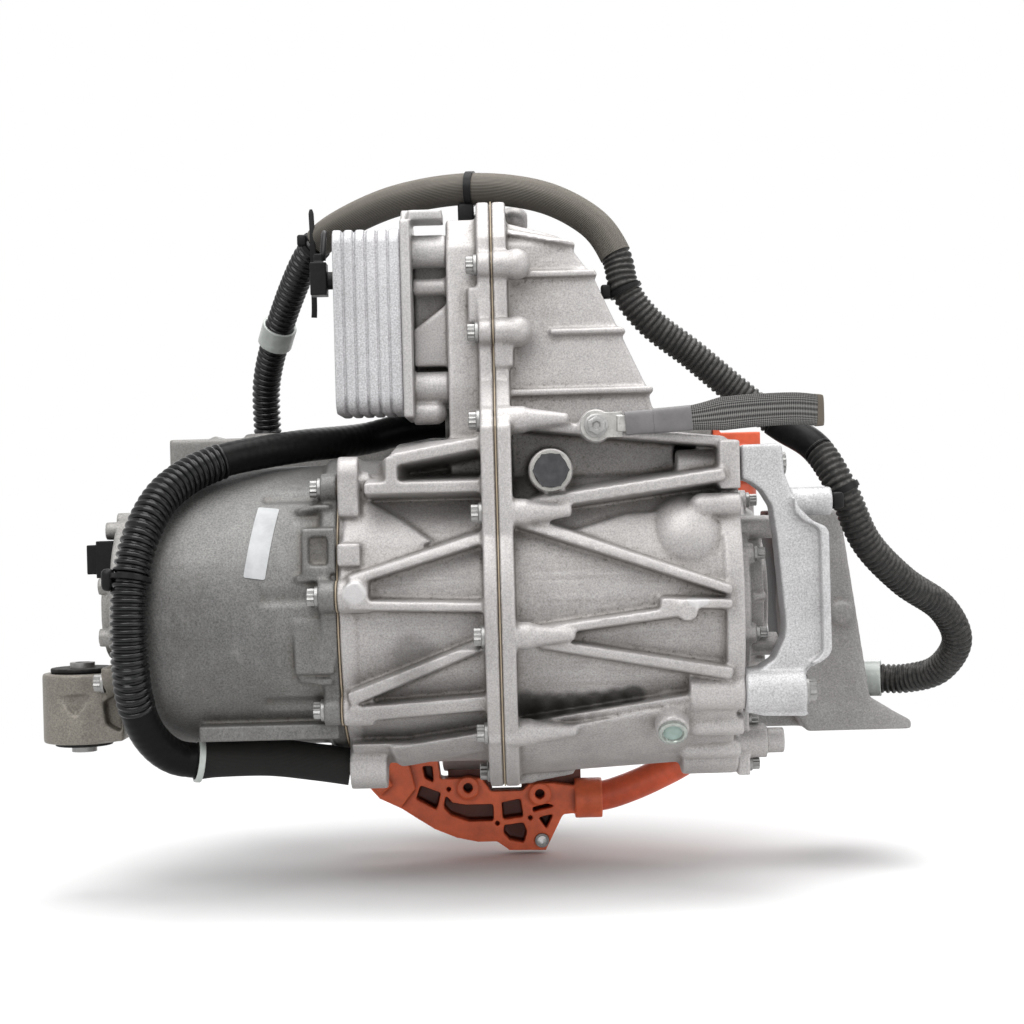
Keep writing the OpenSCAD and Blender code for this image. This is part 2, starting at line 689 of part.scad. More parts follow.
module input_cover() {
    x0 = right_len + joint_t;
    color("#b9b8b3") place() difference() {
        union() {
            rod_x(86, x0, x0 + 8);
            cone_x(74, 66, x0 + 7, x0 + 20);
            rod_x(44, x0 + 18, x0 + 26);
            for (a = [20 : 45 : 335]) rod_x(8, x0, x0 + 12, 80 * cos(a), 80 * sin(a));
            for (z = [54, -37]) rod_x(9, x0, x0 + 30, -62, z);
            for (a = [0 : 45 : 135]) rotate([a, 0, 0]) block([x0 + 7, -72, -2.5], [x0 + 21.5, 72, 2.5]);
        }
        rod_x(60, x0 - 1, x0 + 12);
        rod_x(28, x0 + 10, x0 + 18);
        for (a = [20 : 45 : 335]) rod_x(3.3, x0 - 1, x0 + 40, 80 * cos(a), 80 * sin(a));
        for (a = [20 : 45 : 335]) rod_x(7.2, x0 + 12, x0 + 60, 80 * cos(a), 80 * sin(a));
        for (z = [54, -37]) rod_x(3, x0 + 16, x0 + 31, -62, z);
    }
}

module cover_bolts() {
    x0 = right_len + joint_t + 12 + fit;
    color("#b0afa9") place() {
        for (a = [20 : 45 : 335])
            translate([x0, 80 * cos(a), 80 * sin(a)]) rotate([0, 0, 180]) bolt_x(2.9, 24, 6);
        for (y = [-134, -98])
            translate([right_len + 10 + fit, -30, y]) rotate([0, 0, 180]) bolt_x(2.9, 24, 6);
        for (p = [[82, -100], [96, 74]])
            translate([right_len + 12 + fit, p[0], p[1]]) rotate([0, 0, 180]) bolt_x(2.9, 24, 6);
        for (a = end_bolt_angles)
            translate([can_end - 22 - fit, end_bolt_r * cos(a), end_bolt_r * sin(a)]) bolt_x(2.5, 30, 5);
    }
}

module bracket_side_2d() {
    translate([right_len, 0]) polygon([
        [1.5, 91], [1.5, 117], [30, 117.5], [33, 115], [34, 95], [38, 84], [44, 68], [54, 58], [63, 54], [66, 50],
        [66, -40], [63, -45], [54, -51], [50, -58], [50, -86], [46, -90], [14, -89], [1.5, -86], [1.5, -54],
        [12, -53], [23, -46], [31, -30], [32, -18], [27, 46], [24, 70], [17, 82], [8, 89]
    ]);
}

module mount_bracket() {
    color("#c0bfba") place() difference() {
        union() {
            prism_y(bracket_y0 + 6, bracket_y1) bracket_side_2d();
            prism_y(bracket_y0, bracket_y0 + 10) difference() {
                bracket_side_2d();
                translate([-7, 0]) bracket_side_2d();
                translate([right_len - 10, 60]) square([50, 80]);
                translate([right_len - 10, -120]) square([80, 70]);
            }
            rod_x(13, bracket_x, bracket_x + 30, upper_arm[0], upper_arm[1]);
            rod_x(17, bracket_x, bracket_x + 46, lower_arm[0], lower_arm[1]);
            rod_x(11, bracket_x + 34, bracket_x + 72, -84, 73);
        }
        for (p = [upper_arm, lower_arm]) rod_x(5.4, bracket_x - 1, bracket_x + 76, p[0], p[1]);
        rod_x(18, bracket_x + 30, bracket_x + 76, upper_arm[0], upper_arm[1]);
        rod_x(18, bracket_x + 46, bracket_x + 76, lower_arm[0], lower_arm[1]);
        for (z = [40, -30]) rod_x(bracket_hole_r, right_len + 38, right_len + 72, -88, z);
    }
}

module bracket_bolts() {
    color("#a6a5a0") place() {
        translate([bracket_x + 30 + fit, upper_arm[0], upper_arm[1]]) rotate([0, 0, 180]) bolt_x(5, 58, 11);
        translate([bracket_x + 46 + fit, lower_arm[0], lower_arm[1]]) rotate([0, 0, 180]) bolt_x(5, 74, 11);
    }
}

module mount_arm() {
    color("#8f8e8a") place() difference() {
        union() {
            rod_z(bush_r, bush_z, bush_z + bush_h, bush_x, 0);
            intersection() {
                rod_x(end_cover_r - 2, arm_x - 12, arm_x - fit);
                block([arm_x - 13, -56, -80], [arm_x, 56, -43]);
            }
            block([bush_x, -30, bush_z + 2], [arm_x - fit, 30, bush_z + bush_h - 2]);
            block([bush_x + 29, -9, bush_z + 4], [arm_x - fit, 9, -46]);
        }
        // cored pockets on the front
        prism_y(-40, -28.5) polygon([[bush_x - 16, -66], [bush_x + 14, -66], [bush_x, -83]]);
        prism_y(-40, -20) polygon([
            [bush_x + 36, -64], [bush_x + 22, -72], [bush_x + 24, -90], [bush_x + 36, -97]
        ]);
        rod_z(rubber_r + fit, bush_z - 1, bush_z + bush_h + 1, bush_x, 0);
        for (y = [-40, 40]) rod_x(4.3, arm_x - 14, arm_x + 1, y, -56);
    }
}

module arm_bolts() {
    color("#a6a5a0") place() {
        for (y = [-40, 40]) translate([arm_x - 12 - fit, y, -56]) bolt_x(4, 24, 8.4);
    }
}

module bush_rubber() {
    color("#1d1d1e") place() difference() {
        union() {
            rod_z(rubber_r, bush_z - 3, bush_z + bush_h + 3, bush_x, 0);
            rod_z(rubber_r + 2.4, bush_z + bush_h + fit, bush_z + bush_h + 4, bush_x, 0);
        }
        rod_z(10 + fit, bush_z - 5, bush_z + bush_h + 6, bush_x, 0);
    }
}

module bush_sleeve() {
    color("#9a9a96") place() difference() {
        rod_z(10, bush_z - 8, bush_z + bush_h + 8, bush_x, 0);
        rod_z(sleeve_bore_r, bush_z - 9, bush_z + bush_h + 9, bush_x, 0);
    }
}

module cooler_2d(inset) {
    translate([cooler_y + cooler_d / 2, cooler_z + cooler_h / 2])
        offset(r = 12, $fn = 24) square([cooler_d - 24 - 2 * inset, cooler_h - 24 - 2 * inset], center = true);
}

module cooler_stack() {
    pitch = cooler_w / cooler_plates;
    color("#bdbcb7") place() {
        prism_x(cooler_x1 - cooler_w + 1, cooler_x1 - 1) cooler_2d(2.5);
        for (i = [0 : cooler_plates - 1])
            prism_x(cooler_x1 - cooler_w + i * pitch, cooler_x1 - cooler_w + (i + 0.62) * pitch) cooler_2d(0);
        prism_x(cooler_x1 - 3, cooler_x1) cooler_2d(0);
    }
}

module cooler_flange() {
    color("#b3b2ad") place() difference() {
        union() {
            prism_x(cooler_x1 + fit, cooler_x1 + 8) {
                translate([-68, 146]) square([94, 154]);
                polygon([[-60, 295], [-40, 311], [0, 311], [20, 295]]);
                for (z = [170, 278]) translate([36, z]) circle(r = 10);
                for (z = [170, 278]) translate([20, z - 10]) square([16, 20]);
            }
            for (z = [170, 278]) {
                rod_x(13, cooler_x1 + 7, bulk_x1 - fit, -38, z);
                rod_x(9, cooler_x1 + 7, bulk_x1 - fit, 36, z);
            }
            block([cooler_x1 + 6, -56, 301], [bulk_x1 - 2, -20, 309]);
            rod_x(9, cooler_x1 + 7, cooler_x1 + 24, -42, 150);
            translate([cooler_x1 + 24, -42, 150]) sphere(r = 9);
        }
        for (z = [170, 278]) rod_x(4.3, cooler_x1 - 1, bulk_x1 + 1, 36, z);
    }
}

module cooler_bolts() {
    color("#a6a5a0") place() {
        for (z = [170, 278]) translate([cooler_x1 - fit, 36, z]) bolt_x(4, 39, 8);
    }
}

module coolant_ports() {
    y0 = cooler_y + cooler_d;
    color("#a9a9a5") place() {
        for (z = [188, 258]) difference() {
            union() {
                rod_y(9, y0 + fit, y0 + 34, -98, z);
                rod_y(10.5, y0 + 26, y0 + 30, -98, z);
                rod_y(14, y0 + fit, y0 + 5, -98, z);
            }
            rod_y(7, y0 + 4, y0 + 35, -98, z);
        }
    }
}

module cooler_sensor() {
    x0 = cooler_x1 - cooler_w;
    color("#1b1b1c") place() {
        rod_x(7, x0 - 8, x0 - fit, -30, 258);
        block([x0 - 20, -39, 246], [x0 - 7, -21, 272]);
        block([x0 - 17, -36, 271], [x0 - 10, -24, 279]);
    }
}

module fill_plug() {
    color("#56575a") place() {
        rod_y(9, -112, -88, 41, 101);
        rod_y(13, -116, -114, 41, 101);
        translate([41, -115, 101]) rotate([90, 0, 0]) cylinder(r = 14, h = 12, $fn = 6);
    }
}

module fill_plug_washer() {
    color("#c9c7bf") place() difference() {
        rod_y(15.5, -114 + fit, -112 - fit, 41, 101);
        rod_y(9 + fit, -115, -111, 41, 101);
    }
}

module level_plug() {
    color("#83866f") place() at_level() {
        rod_y(6, -14, 8, 0, 0);
        rod_y(11, -16, -13 - fit, 0, 0);
    }
}

module gallery_cap() {
    x0 = right_len + fit;
    color("#b7b6b1") place() difference() {
        union() {
            block([x0, -41, -142], [right_len + 10, -19, -90]);
            rod_x(14, x0, x0 + 24, -30, -116);
            rod_x(10, x0, x0 + 38, -30, -116);
        }
        for (z = [-134, -98]) rod_x(3.3, right_len - 1, right_len + 12, -30, z);
        for (z = [-134, -98]) rod_x(6.4, right_len + 10, right_len + 30, -30, z);
    }
}

module resolver_connector() {
    x1 = can_end - 22 - fit;
    color("#1c1c1d") place() difference() {
        union() {
            block([x1 - 14, -52, 27], [x1, -33, 56]);
            block([x1 - 22, -49, 30], [x1 - 12, -36, 53]);
        }
        block([x1 - 23, -46, 33], [x1 - 13, -39, 50]);
    }
}

module inverter_housing() {
    x0 = inverter_x1 - inverter_len;
    y1 = inverter_y + inverter_d;
    z1 = inverter_z + inverter_h;
    color("#9f9e9a") place() difference() {
        union() {
            block([x0, inverter_y, inverter_z], [inverter_x1, y1, z1]);
            for (x = [x0 + 40 : 40 : inverter_x1 - 40])
                block([x - 2, inverter_y + 8, z1 - 1], [x + 2, y1 - 8, z1 + 3]);
            rod_z(20, z1 - 1, z1 + 4, -205, 165);
            for (x = [-201, -30]) hull() {
                rod_z(13, inverter_z, inverter_z + 12, x, 133);
                rod_z(13, inverter_z, inverter_z + 12, x, 150);
            }
            hull() {
                rod_z(13, 72, 84, 112, 133);
                rod_z(13, 72, 84, 112, 150);
            }
        }
        block(
            [x0 + inverter_wall, inverter_y + inverter_wall, inverter_z + inverter_wall],
            [inverter_x1 - inverter_wall, y1 + 1, z1 - inverter_wall]
        );
        for (x = [-201, -30]) rod_z(4.4, inverter_z - 1, inverter_z + 30, x, 133);
        rod_z(4.4, 70, 90, 112, 133);
        rod_z(harness_r + 0.4, z1 - 10, z1 + 5, -205, 165);
    }
}

module inverter_cover() {
    x0 = inverter_x1 - inverter_len;
    y1 = inverter_y + inverter_d + fit;
    color("#a7a6a2") place() difference() {
        union() {
            block([x0, y1, inverter_z], [inverter_x1, y1 + 6, inverter_z + inverter_h]);
            block([x0 + 30, y1 + 5, inverter_z + 16], [inverter_x1 - 30, y1 + 9, inverter_z + inverter_h - 16]);
        }
        for (x = [x0 + 50 : 60 : inverter_x1 - 50])
            block([x, y1 + 6, inverter_z + 22], [x + 40, y1 + 10, inverter_z + inverter_h - 22]);
    }
}

module inverter_bolts() {
    color("#a6a5a0") place() {
        for (p = [[-201, inverter_z + 12], [-30, inverter_z + 12], [112, 84]])
            translate([p[0], 133, p[1] + fit]) rotate([0, 90, 0]) bolt_x(4, 22, 8.4);
    }
}

module inverter_board() {
    x0 = inverter_x1 - inverter_len;
    y0 = inverter_y + inverter_wall;
    color("#2f6b3a") place() {
        block([x0 + 20, y0 + 74, inverter_z + 12], [inverter_x1 - 20, y0 + 76, inverter_z + inverter_h - 12]);
        for (x = [x0 + 30, inverter_x1 - 30], z = [inverter_z + 20, inverter_z + inverter_h - 20])
            rod_y(4, y0 + fit, y0 + 75, x, z);
    }
}

module dc_link_capacitor() {
    y0 = inverter_y + inverter_wall + fit;
    color("#303236") place() block([-20, y0, inverter_z + 12], [140, y0 + 60, inverter_z + inverter_h - 12]);
}

module power_modules() {
    y0 = inverter_y + inverter_wall + fit;
    color("#26282b") place() {
        for (x = [-180, -128, -76]) block([x, y0, inverter_z + 16], [x + 44, y0 + 24, inverter_z + inverter_h - 16]);
    }
}

module phase_busbars() {
    y0 = inverter_y + inverter_wall + 24 + 3 * fit;
    color("#b87a3d") place() {
        for (i = [0 : 2]) {
            x = [-180, -128, -76][i];
            block([x + 14, y0, inverter_z + 20], [x + 30, y0 + 4, inverter_z + inverter_h - 20]);
            block([-240, y0 + 4 + i * 7, inverter_z + 30 + i * 8], [x + 30, y0 + 7 + i * 7, inverter_z + 36 + i * 8]);
            block([x + 14, y0, inverter_z + 30 + i * 8], [x + 30, y0 + 6 + i * 7, inverter_z + 36 + i * 8]);
        }
    }
}

module hood_shape(g) {
    hull() {
        block([hood_x + g, 44 + g, 48], [hood_x + 56 - g, 132 - g, 66 - g]);
        block([hood_x + 8 + g, 34 + g, -92], [hood_x + 75 - g, 142 - g, -88]);
    }
    hull() {
        block([hood_x + 8 + g, 34 + g, -94], [hood_x + 75 - g, 142 - g, -90]);
        block([hood_x + 22 + g, 30 + g, -117 + g], [hood_x + 108 - g, 148 - g, -110 + g]);
    }
}

module terminal_hood() {
    color("#aaa9a4") place() difference() {
        union() {
            hood_shape(0);
            block([right_len + fit, 64, -117], [right_len + 12, 100, -82]);
            block([right_len + 2, 66, -116], [hood_x + 34, 98, -98]);
            block([right_len + fit, 82, 58], [right_len + 12, 110, 90]);
            block([right_len + 2, 84, 52], [hood_x + 8, 108, 62]);
            rod_y(9, 34, 60, hood_x + 54, -20);
        }
        hood_shape(6);
        rod_x(harness_r + 4, hood_x + 52, hood_x + 112, 75, -78);
        for (p = [[82, -100], [96, 74]]) rod_x(3.3, right_len - 1, right_len + 14, p[0], p[1]);
        for (p = [[82, -100], [96, 74]]) rod_x(6.6, right_len + 12, right_len + 42, p[0], p[1]);
    }
}

module hv_connector() {
    color("#d0552c") place() difference() {
        union() {
            block([inverter_x1 + fit, 144, 84], [inverter_x1 + 6, 188, 140]);
            block([inverter_x1 + 4, 147, 92], [inverter_x1 + 42, 185, 136]);
            rod_z(hv_r + 4.4, 76, 100, 212, 166);
            block([inverter_x1 + 10, 142, 104], [inverter_x1 + 30, 152, 124]);
        }
        rod_z(hv_r + 2.6, 75, 90, 212, 166);
    }
}

module duct_2d() {
    polygon([
        [-134, -153], [-125, -164], [-112, -179], [-93, -188], [-78, -198], [-64, -207], [-45, -215], [-27, -219],
        [-10, -219], [1, -227], [33, -228], [49, -197], [59, -196], [74, -193], [74, -174], [42, -169], [20, -169],
        [14, -175], [-14, -175], [-22, -163], [-58, -163], [-60, -146], [-77, -144], [-120, -144]
    ]);
}

module hv_duct() {
    color("#cf5227") place() difference() {
        union() {
            prism_y(140, 166) duct_2d();
            rod_x(hv_r + 4.6, 60, 84, 152, -184);
            for (p = [[-34, -171], [29, -178]]) rod_y(9.6, 137, 166, p[0], p[1]);
            // stepped shroud at the left end
            prism_y(133, 142) polygon([[-130, -155], [-112, -177], [-93, -186], [-80, -170], [-86, -146], [-118, -146]]);
            prism_y(129, 134) polygon([[-122, -160], [-110, -174], [-100, -166], [-108, -150]]);
        }
        // pockets between the webs
        prism_y(130, 160) {
            polygon([[-74, -151], [-65, -151], [-64, -166], [-72, -162]]);
            polygon([[-76, -168], [-58, -175], [-62, -190], [-80, -180]]);
            polygon([[-54, -177], [-48, -184], [-37, -186], [-12, -186], [-12, -201], [-34, -201], [-50, -195], [-56, -188]]);
            polygon([[-5, -185], [12, -182], [14, -198], [-4, -200]]);
            polygon([[22, -190], [34, -187], [44, -189], [22, -194]]);
            polygon([[-3, -205], [14, -203], [17, -211], [14, -221], [1, -218], [-4, -212]]);
            polygon([[27, -199], [41, -196], [34, -209]]);
        }
        for (p = [[-51, -172], [-9, -203], [20, -199]]) rod_y(2.2, 130, 150, p[0], p[1]);
        rod_y(6 + fit, 139, 167, 30, -219);
        for (p = [[-34, -171], [29, -178]]) rod_y(4.3, 136, 170, p[0], p[1]);
        rod_x(hv_r + 1.8, 70, 85, 152, -184);
    }
}

module duct_sleeve() {
    color("#a9a8a3") place() difference() {
        rod_y(6, 138, 168, 30, -219);
        rod_y(4, 137, 169, 30, -219);
    }
}

module hv_tube() {
    color("#d2562d") place() tube(hv_route, hv_r, 5, 12);
}

module harness_conduit() {
    color("#3c3b39") place() tube(harness_route, harness_r, 4, 12);
}

module motor_conduit() {
    color("#1a1a1b") place() tube(motor_route, motor_conduit_r, 4, 12);
}

module conduit_collars() {
    color("#b9bdb0") place() {
        at_route(harness_route, 2) collar(harness_r + 0.5, harness_r + 3, 20);
        at_route(harness_route, 24) collar(harness_r + 1.5, harness_r + 3.2, 16);
        at_route(motor_route, 15) collar(motor_conduit_r + 0.6, motor_conduit_r + 3, 5);
    }
}

module conduit_clips() {
    color("#161617") place() {
        at_route(harness_route, 4) collar(harness_r + 0.8, harness_r + 2.6, 6);
        at_route(harness_route, 7) collar(harness_r + 0.6, harness_r + 3, 10);
        block([-27, -7, 303 + fit], [-13, 7, 333 - harness_r - 1]);
        at_route(harness_route, 11) collar(harness_r + 0.8, harness_r + 3, 10);
        rod_x(6, 86.4, 106 - harness_r - 2.2, -25, 244);
        at_route(harness_route, 17) collar(harness_r + 0.8, harness_r + 3, 9);
        block([bracket_x + 72 + fit, -88, 66], [bracket_x + 82, -66, 80]);
        at_route(motor_route, 9) collar(motor_conduit_r + 0.5, motor_conduit_r + 1.7, 8);
    }
}

module ground_lug() {
    color("#c2c0b8") place() difference() {
        union() {
            rod_y(12, -111, -108 - fit, 76, 134);
            block([76, -111, 125], [96, -108 - fit, 144]);
            block([92, -113.6, 129], [112, -110.6, 141]);
        }
        rod_y(4.3, -114, -105, 76, 134);
    }
}

// strap: a round cable end that flares into a flat band
module ground_strap() {
    p = route_path(strap_route, 4);
    rows = len(p);
    points = [for (i = [0 : rows - 1])
        let (
            t = tangent(p, i), up = across([0, 0, 1], t), out = cross(t, up),
            flat = max(0, min(1, (p[i][0] - 146) / 26)),
            w = (strap_w - 5 * (1 - flat)) / 2, d = (strap_t + 5 * (1 - flat)) / 2
        )
        for (c = [[-1, -0.5], [-0.8, -1], [0.8, -1], [1, -0.5], [1, 0.5], [0.8, 1], [-0.8, 1], [-1, 0.5]])
            p[i] + up * c[0] * w + out * c[1] * d];
    skin = [for (i = [0 : rows - 2]) for (k = [0 : 7])
        [i * 8 + k, (i + 1) * 8 + k, (i + 1) * 8 + (k + 1) % 8, i * 8 + (k + 1) % 8]];
    color("#4b4741") place() difference() {
        polyhedron(
            points = points,
            faces = concat(skin, [[for (k = [0 : 7]) k], [for (k = [7 : -1 : 0]) (rows - 1) * 8 + k]])
        );
        block([90, -113.9, 128.7], [112.4, -110.3, 141.3]);
    }
}

module ground_bolt() {
    color("#a6a5a0") place() translate([76, -111 - fit, 134]) rotate([0, 0, 90]) bolt_x(4, 22, 9);
}

module output_seals() {
    color("#2b2320") place() {
        ring_x(17.4, 27, right_mouth - 12, right_mouth - 2, out_y, out_z);
        ring_x(17.4, 27, left_mouth + 2, left_mouth + 11, out_y, out_z);
    }
}

module bearing_outer_rings() {
    color("#8e9194") place() {
        for (b = bearings) {
            mid = (b[4] + b[5]) / 2;
            ball = (b[5] - b[4]) * 0.29;
            ring_x(mid + ball + 0.1, b[5], b[2], b[2] + b[3], b[0], b[1]);
        }
    }
}

module inner_rings(list) {
    for (i = list) {
        b = bearings[i];
        mid = (b[4] + b[5]) / 2;
        ball = (b[5] - b[4]) * 0.29;
        ring_x(b[4] - 0.5, mid - ball - 0.1, b[2] + 0.3, b[2] + b[3] - 0.3, b[0], b[1]);
    }
}

module bearing_balls() {
    color("#c4c6c8") place() {
        for (b = bearings) {
            mid = (b[4] + b[5]) / 2;
            ball = (b[5] - b[4]) * 0.29;
            for (k = [0 : b[6] - 1])
                translate([b[2] + b[3] / 2, b[0] + mid * cos(360 * k / b[6]), b[1] + mid * sin(360 * k / b[6])])
                    sphere(r = ball);
        }
    }
}

module rotor_core() {
    hole_ring = (26 + rotor_r) / 2;
    color("#6b7074") place() difference() {
        union() {
            rod_x(rotor_r, stator_x0 + 2, stator_x1 - 2);
            rod_x(rotor_r - 6, stator_x0 - 5, stator_x1 + 5);
        }
        rod_x(26 + fit, stator_x0 - 10, stator_x1 + 10);
        for (a = [0 : 45 : 315])
            rod_x(7, stator_x0 - 10, stator_x1 + 10, hole_ring * cos(a), hole_ring * sin(a));
    }
}

module rotor_shaft() {
    color("#9ea1a4") place() {
        turned_x() polygon([
            [0, can_end - 18], [15, can_end - 18], [15, can_end + 1], [21, can_end + 1], [21, stator_x0 - 14],
            [26, stator_x0 - 14], [26, stator_x1 + 14], [20, stator_x1 + 14], [20, bulk_x1], [18, bulk_x1],
            [18, first_x - 2], [15, right_len - 36], [15, right_len - 19], [0, right_len - 19]
        ]);
        prism_x(first_x - 2, first_x + first_face + 2) rotate(first_angle)
            polygon(gear_outline(pinion_teeth, first_module, 0.2));
        inner_rings([0, 1, 2]);
    }
}

module layshaft() {
    color("#9a9da0") place() {
        translate([0, lay_y, lay_z]) turned_x() polygon([
            [0, -53], [15, -53], [15, -36], [20, -36], [20, first_x - 3], [18, first_x - 3],
            [18, first_x + first_face + 4], [15, first_x + first_face + 4], [15, right_len - 32], [0, right_len - 32]
        ]);
        translate([0, lay_y, lay_z]) prism_x(final_x - 2, final_x + final_face + 2) rotate(final_angle)
            polygon(gear_outline(final_pinion_teeth, final_module, 0.2));
        inner_rings([3, 4]);
    }
}

module layshaft_wheel() {
    color("#8b8f93") place() translate([0, lay_y, lay_z]) difference() {
        prism_x(first_x, first_x + first_face) rotate(first_angle + 180 + 180 / wheel_teeth)
            polygon(gear_outline(wheel_teeth, first_module, 0.2));
        rod_x(18 + fit, first_x - 1, first_x + first_face + 1);
        ring_x(30, 56, first_x - 1, first_x + first_face / 2 - 5);
        ring_x(30, 56, first_x + first_face / 2 + 5, first_x + first_face + 1);
    }
}

module ring_gear() {
    color("#83878b") place() translate([0, out_y, out_z]) difference() {
        prism_x(final_x, final_x + final_face) rotate(final_angle + 180 + 180 / ring_teeth)
            polygon(gear_outline(ring_teeth, final_module, 0.2));
        rod_x(47 + fit, final_x - 1, final_x + final_face + 1);
        ring_x(64, 74, final_x - 1, final_x + 12);
    }
}

module differential_case() {
    color("#7e7a74") place() translate([0, out_y, out_z]) {
        difference() {
            union() {
                rod_x(47, diff_x - 36, diff_x + 36);
                rod_x(62, final_x + final_face + fit, final_x + final_face + 8);
                rod_x(25, -51, 85);
            }
            translate([diff_x, 0, 0]) sphere(r = 30);
            rod_x(17 + run_fit, -60, 90);
            rod_z(6.5 + fit, -60, 60, diff_x, 0);
            block([diff_x - 15, -60, -19], [diff_x + 15, 60, 19]);
        }
    }
    color("#7e7a74") place() inner_rings([5, 6]);
}

module cross_pin() {
    color("#a5a8ab") place() rod_z(6.5, out_z - 46, out_z + 46, diff_x, out_y);
}

module bevel(z, pitch, tip, root, depth) {
    translate([0, 0, depth]) mirror([0, 0, 1])
        linear_extrude(height = depth * 0.31, scale = 0.69) polygon(bevel_outline(z, tip, pitch, root));
}

module planet() {
    difference() {
        union() {
            rotate([0, 0, 18]) bevel(10, 15, 18, 11.6, 21);
            translate([0, 0, 20.9]) cylinder(r = 11.5, h = 5.6);
        }
        translate([0, 0, 5]) cylinder(r = 6.5 + run_fit, h = 30);
    }
}

module planet_upper() {
    color("#96999c") place() translate([diff_x, out_y, out_z]) planet();
}

module planet_lower() {
    color("#96999c") place() translate([diff_x, out_y, out_z]) rotate([180, 0, 0]) planet();
}

// side gear on +X with its sleeve, apex at the origin
module side_gear(reach) {
    difference() {
        union() {
            rotate([0, 90, 0]) bevel(14, 21, 23.3, 16.8, 15);
            rod_x(17, 14.9, reach);
        }
        rod_x(output_bore_r, reach - 58, reach + 1);
        rod_x(9, 5, reach);
    }
}

module side_gear_right() {
    color("#90939a") place() translate([diff_x, out_y, out_z]) side_gear(right_mouth - diff_x);
}

module side_gear_left() {
    color("#90939a") place() translate([diff_x, out_y, out_z]) mirror([1, 0, 0]) side_gear(diff_x - left_mouth);
}

motor_housing();
motor_end_cover();
stator_core();
stator_windings();
gearcase_left();
gearcase_right();
case_gaskets();
case_bolts();
motor_bolts();
input_cover();
cover_bolts();
mount_bracket();
bracket_bolts();
mount_arm();
arm_bolts();
bush_rubber();
bush_sleeve();
cooler_stack();
cooler_flange();
cooler_bolts();
coolant_ports();
cooler_sensor();
fill_plug();
fill_plug_washer();
level_plug();
gallery_cap();
resolver_connector();
inverter_housing();
inverter_cover();
inverter_bolts();
inverter_board();
dc_link_capacitor();
power_modules();
phase_busbars();
terminal_hood();
hv_connector();
hv_duct();
duct_sleeve();
hv_tube();
harness_conduit();
motor_conduit();
conduit_collars();
conduit_clips();
ground_lug();
ground_strap();
ground_bolt();
output_seals();
bearing_outer_rings();
bearing_balls();
rotor_core();
rotor_shaft();
layshaft();
layshaft_wheel();
ring_gear();
differential_case();
cross_pin();
planet_upper();
planet_lower();
side_gear_right();
side_gear_left();
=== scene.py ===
"""Looks of the electric drive unit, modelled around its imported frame."""

import json
import logging
import math
from contextlib import contextmanager
from dataclasses import dataclass
from enum import Enum
from functools import partialmethod
from typing import Callable, Iterator, Optional, Sequence

import bmesh
import bpy
import numpy as np
from mathutils import Matrix, Vector, kdtree


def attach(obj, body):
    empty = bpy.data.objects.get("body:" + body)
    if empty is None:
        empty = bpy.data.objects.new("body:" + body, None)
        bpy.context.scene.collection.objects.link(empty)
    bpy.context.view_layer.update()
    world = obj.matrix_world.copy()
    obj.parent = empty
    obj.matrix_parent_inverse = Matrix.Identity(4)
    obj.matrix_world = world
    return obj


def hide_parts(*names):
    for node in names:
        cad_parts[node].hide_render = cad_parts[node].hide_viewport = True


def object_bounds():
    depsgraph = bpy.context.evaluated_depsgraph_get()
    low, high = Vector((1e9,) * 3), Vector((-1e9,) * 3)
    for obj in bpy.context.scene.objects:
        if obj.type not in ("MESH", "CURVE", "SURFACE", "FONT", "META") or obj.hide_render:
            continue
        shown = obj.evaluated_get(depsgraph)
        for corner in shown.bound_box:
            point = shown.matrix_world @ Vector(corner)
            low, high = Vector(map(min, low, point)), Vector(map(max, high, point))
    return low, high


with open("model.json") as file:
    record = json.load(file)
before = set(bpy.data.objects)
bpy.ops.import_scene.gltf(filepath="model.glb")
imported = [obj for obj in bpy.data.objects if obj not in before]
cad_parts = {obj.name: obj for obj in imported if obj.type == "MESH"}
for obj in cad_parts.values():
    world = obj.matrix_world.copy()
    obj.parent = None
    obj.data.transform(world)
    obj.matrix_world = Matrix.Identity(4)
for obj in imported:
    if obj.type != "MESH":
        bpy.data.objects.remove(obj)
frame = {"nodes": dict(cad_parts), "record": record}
CAD_BOX = [list(corner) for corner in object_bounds()]

LOG = logging.getLogger("drive_unit")
MM = 0.001
MOUTH_MM = Vector((112.0, 185.0, -60.0))
HOUSING = "housing"
DUCT_WEBS_MM = ((-52.0, -13.0), (13.0, 66.0))

Colour = tuple[float, float, float]
Point = tuple[float, float, float]
Socket = bpy.types.NodeSocket
Thing = bpy.types.Object
Route = Sequence[Point]

HARNESS_ROUTE: Route = (
    (-205, 165, 146), (-203, 150, 190), (-189, 120, 230), (-167, 80, 272), (-148, 55, 297), (-121, 35, 313),
    (-74, 15, 328), (-16, 0, 333), (40, -10, 324), (80, -15, 302), (99, -20, 274), (106, -25, 245),
    (125, -25, 219), (158, -20, 193), (192, -15, 164), (226, -15, 136), (252, -40, 115), (270, -55, 81),
    (289, -45, 40), (321, -25, 8), (357, 0, -16), (373, 20, -44), (363, 45, -69), (340, 65, -78),
    (312, 75, -78), (296, 75, -78),
)
MOTOR_ROUTE: Route = (
    (-37, 46, 145), (-75, 43, 142), (-111, 37, 134), (-156, -10, 128), (-201, -45, 120), (-221, -58, 114),
    (-240, -74, 104), (-257, -94, 87), (-269, -112, 60), (-276, -121, 28), (-278, -124, -6), (-278, -121, -38),
    (-277, -110, -66), (-271, -92, -92), (-258, -74, -110), (-238, -60, -117), (-184, -50, -121),
    (-150, -45, -125), (-121, -43, -127),
)
SLEEVE_ROUTE: Route = ((-238, -60, -117), (-222, -57, -116), (-184, -50, -117), (-150, -45, -122), (-121, -43, -127))
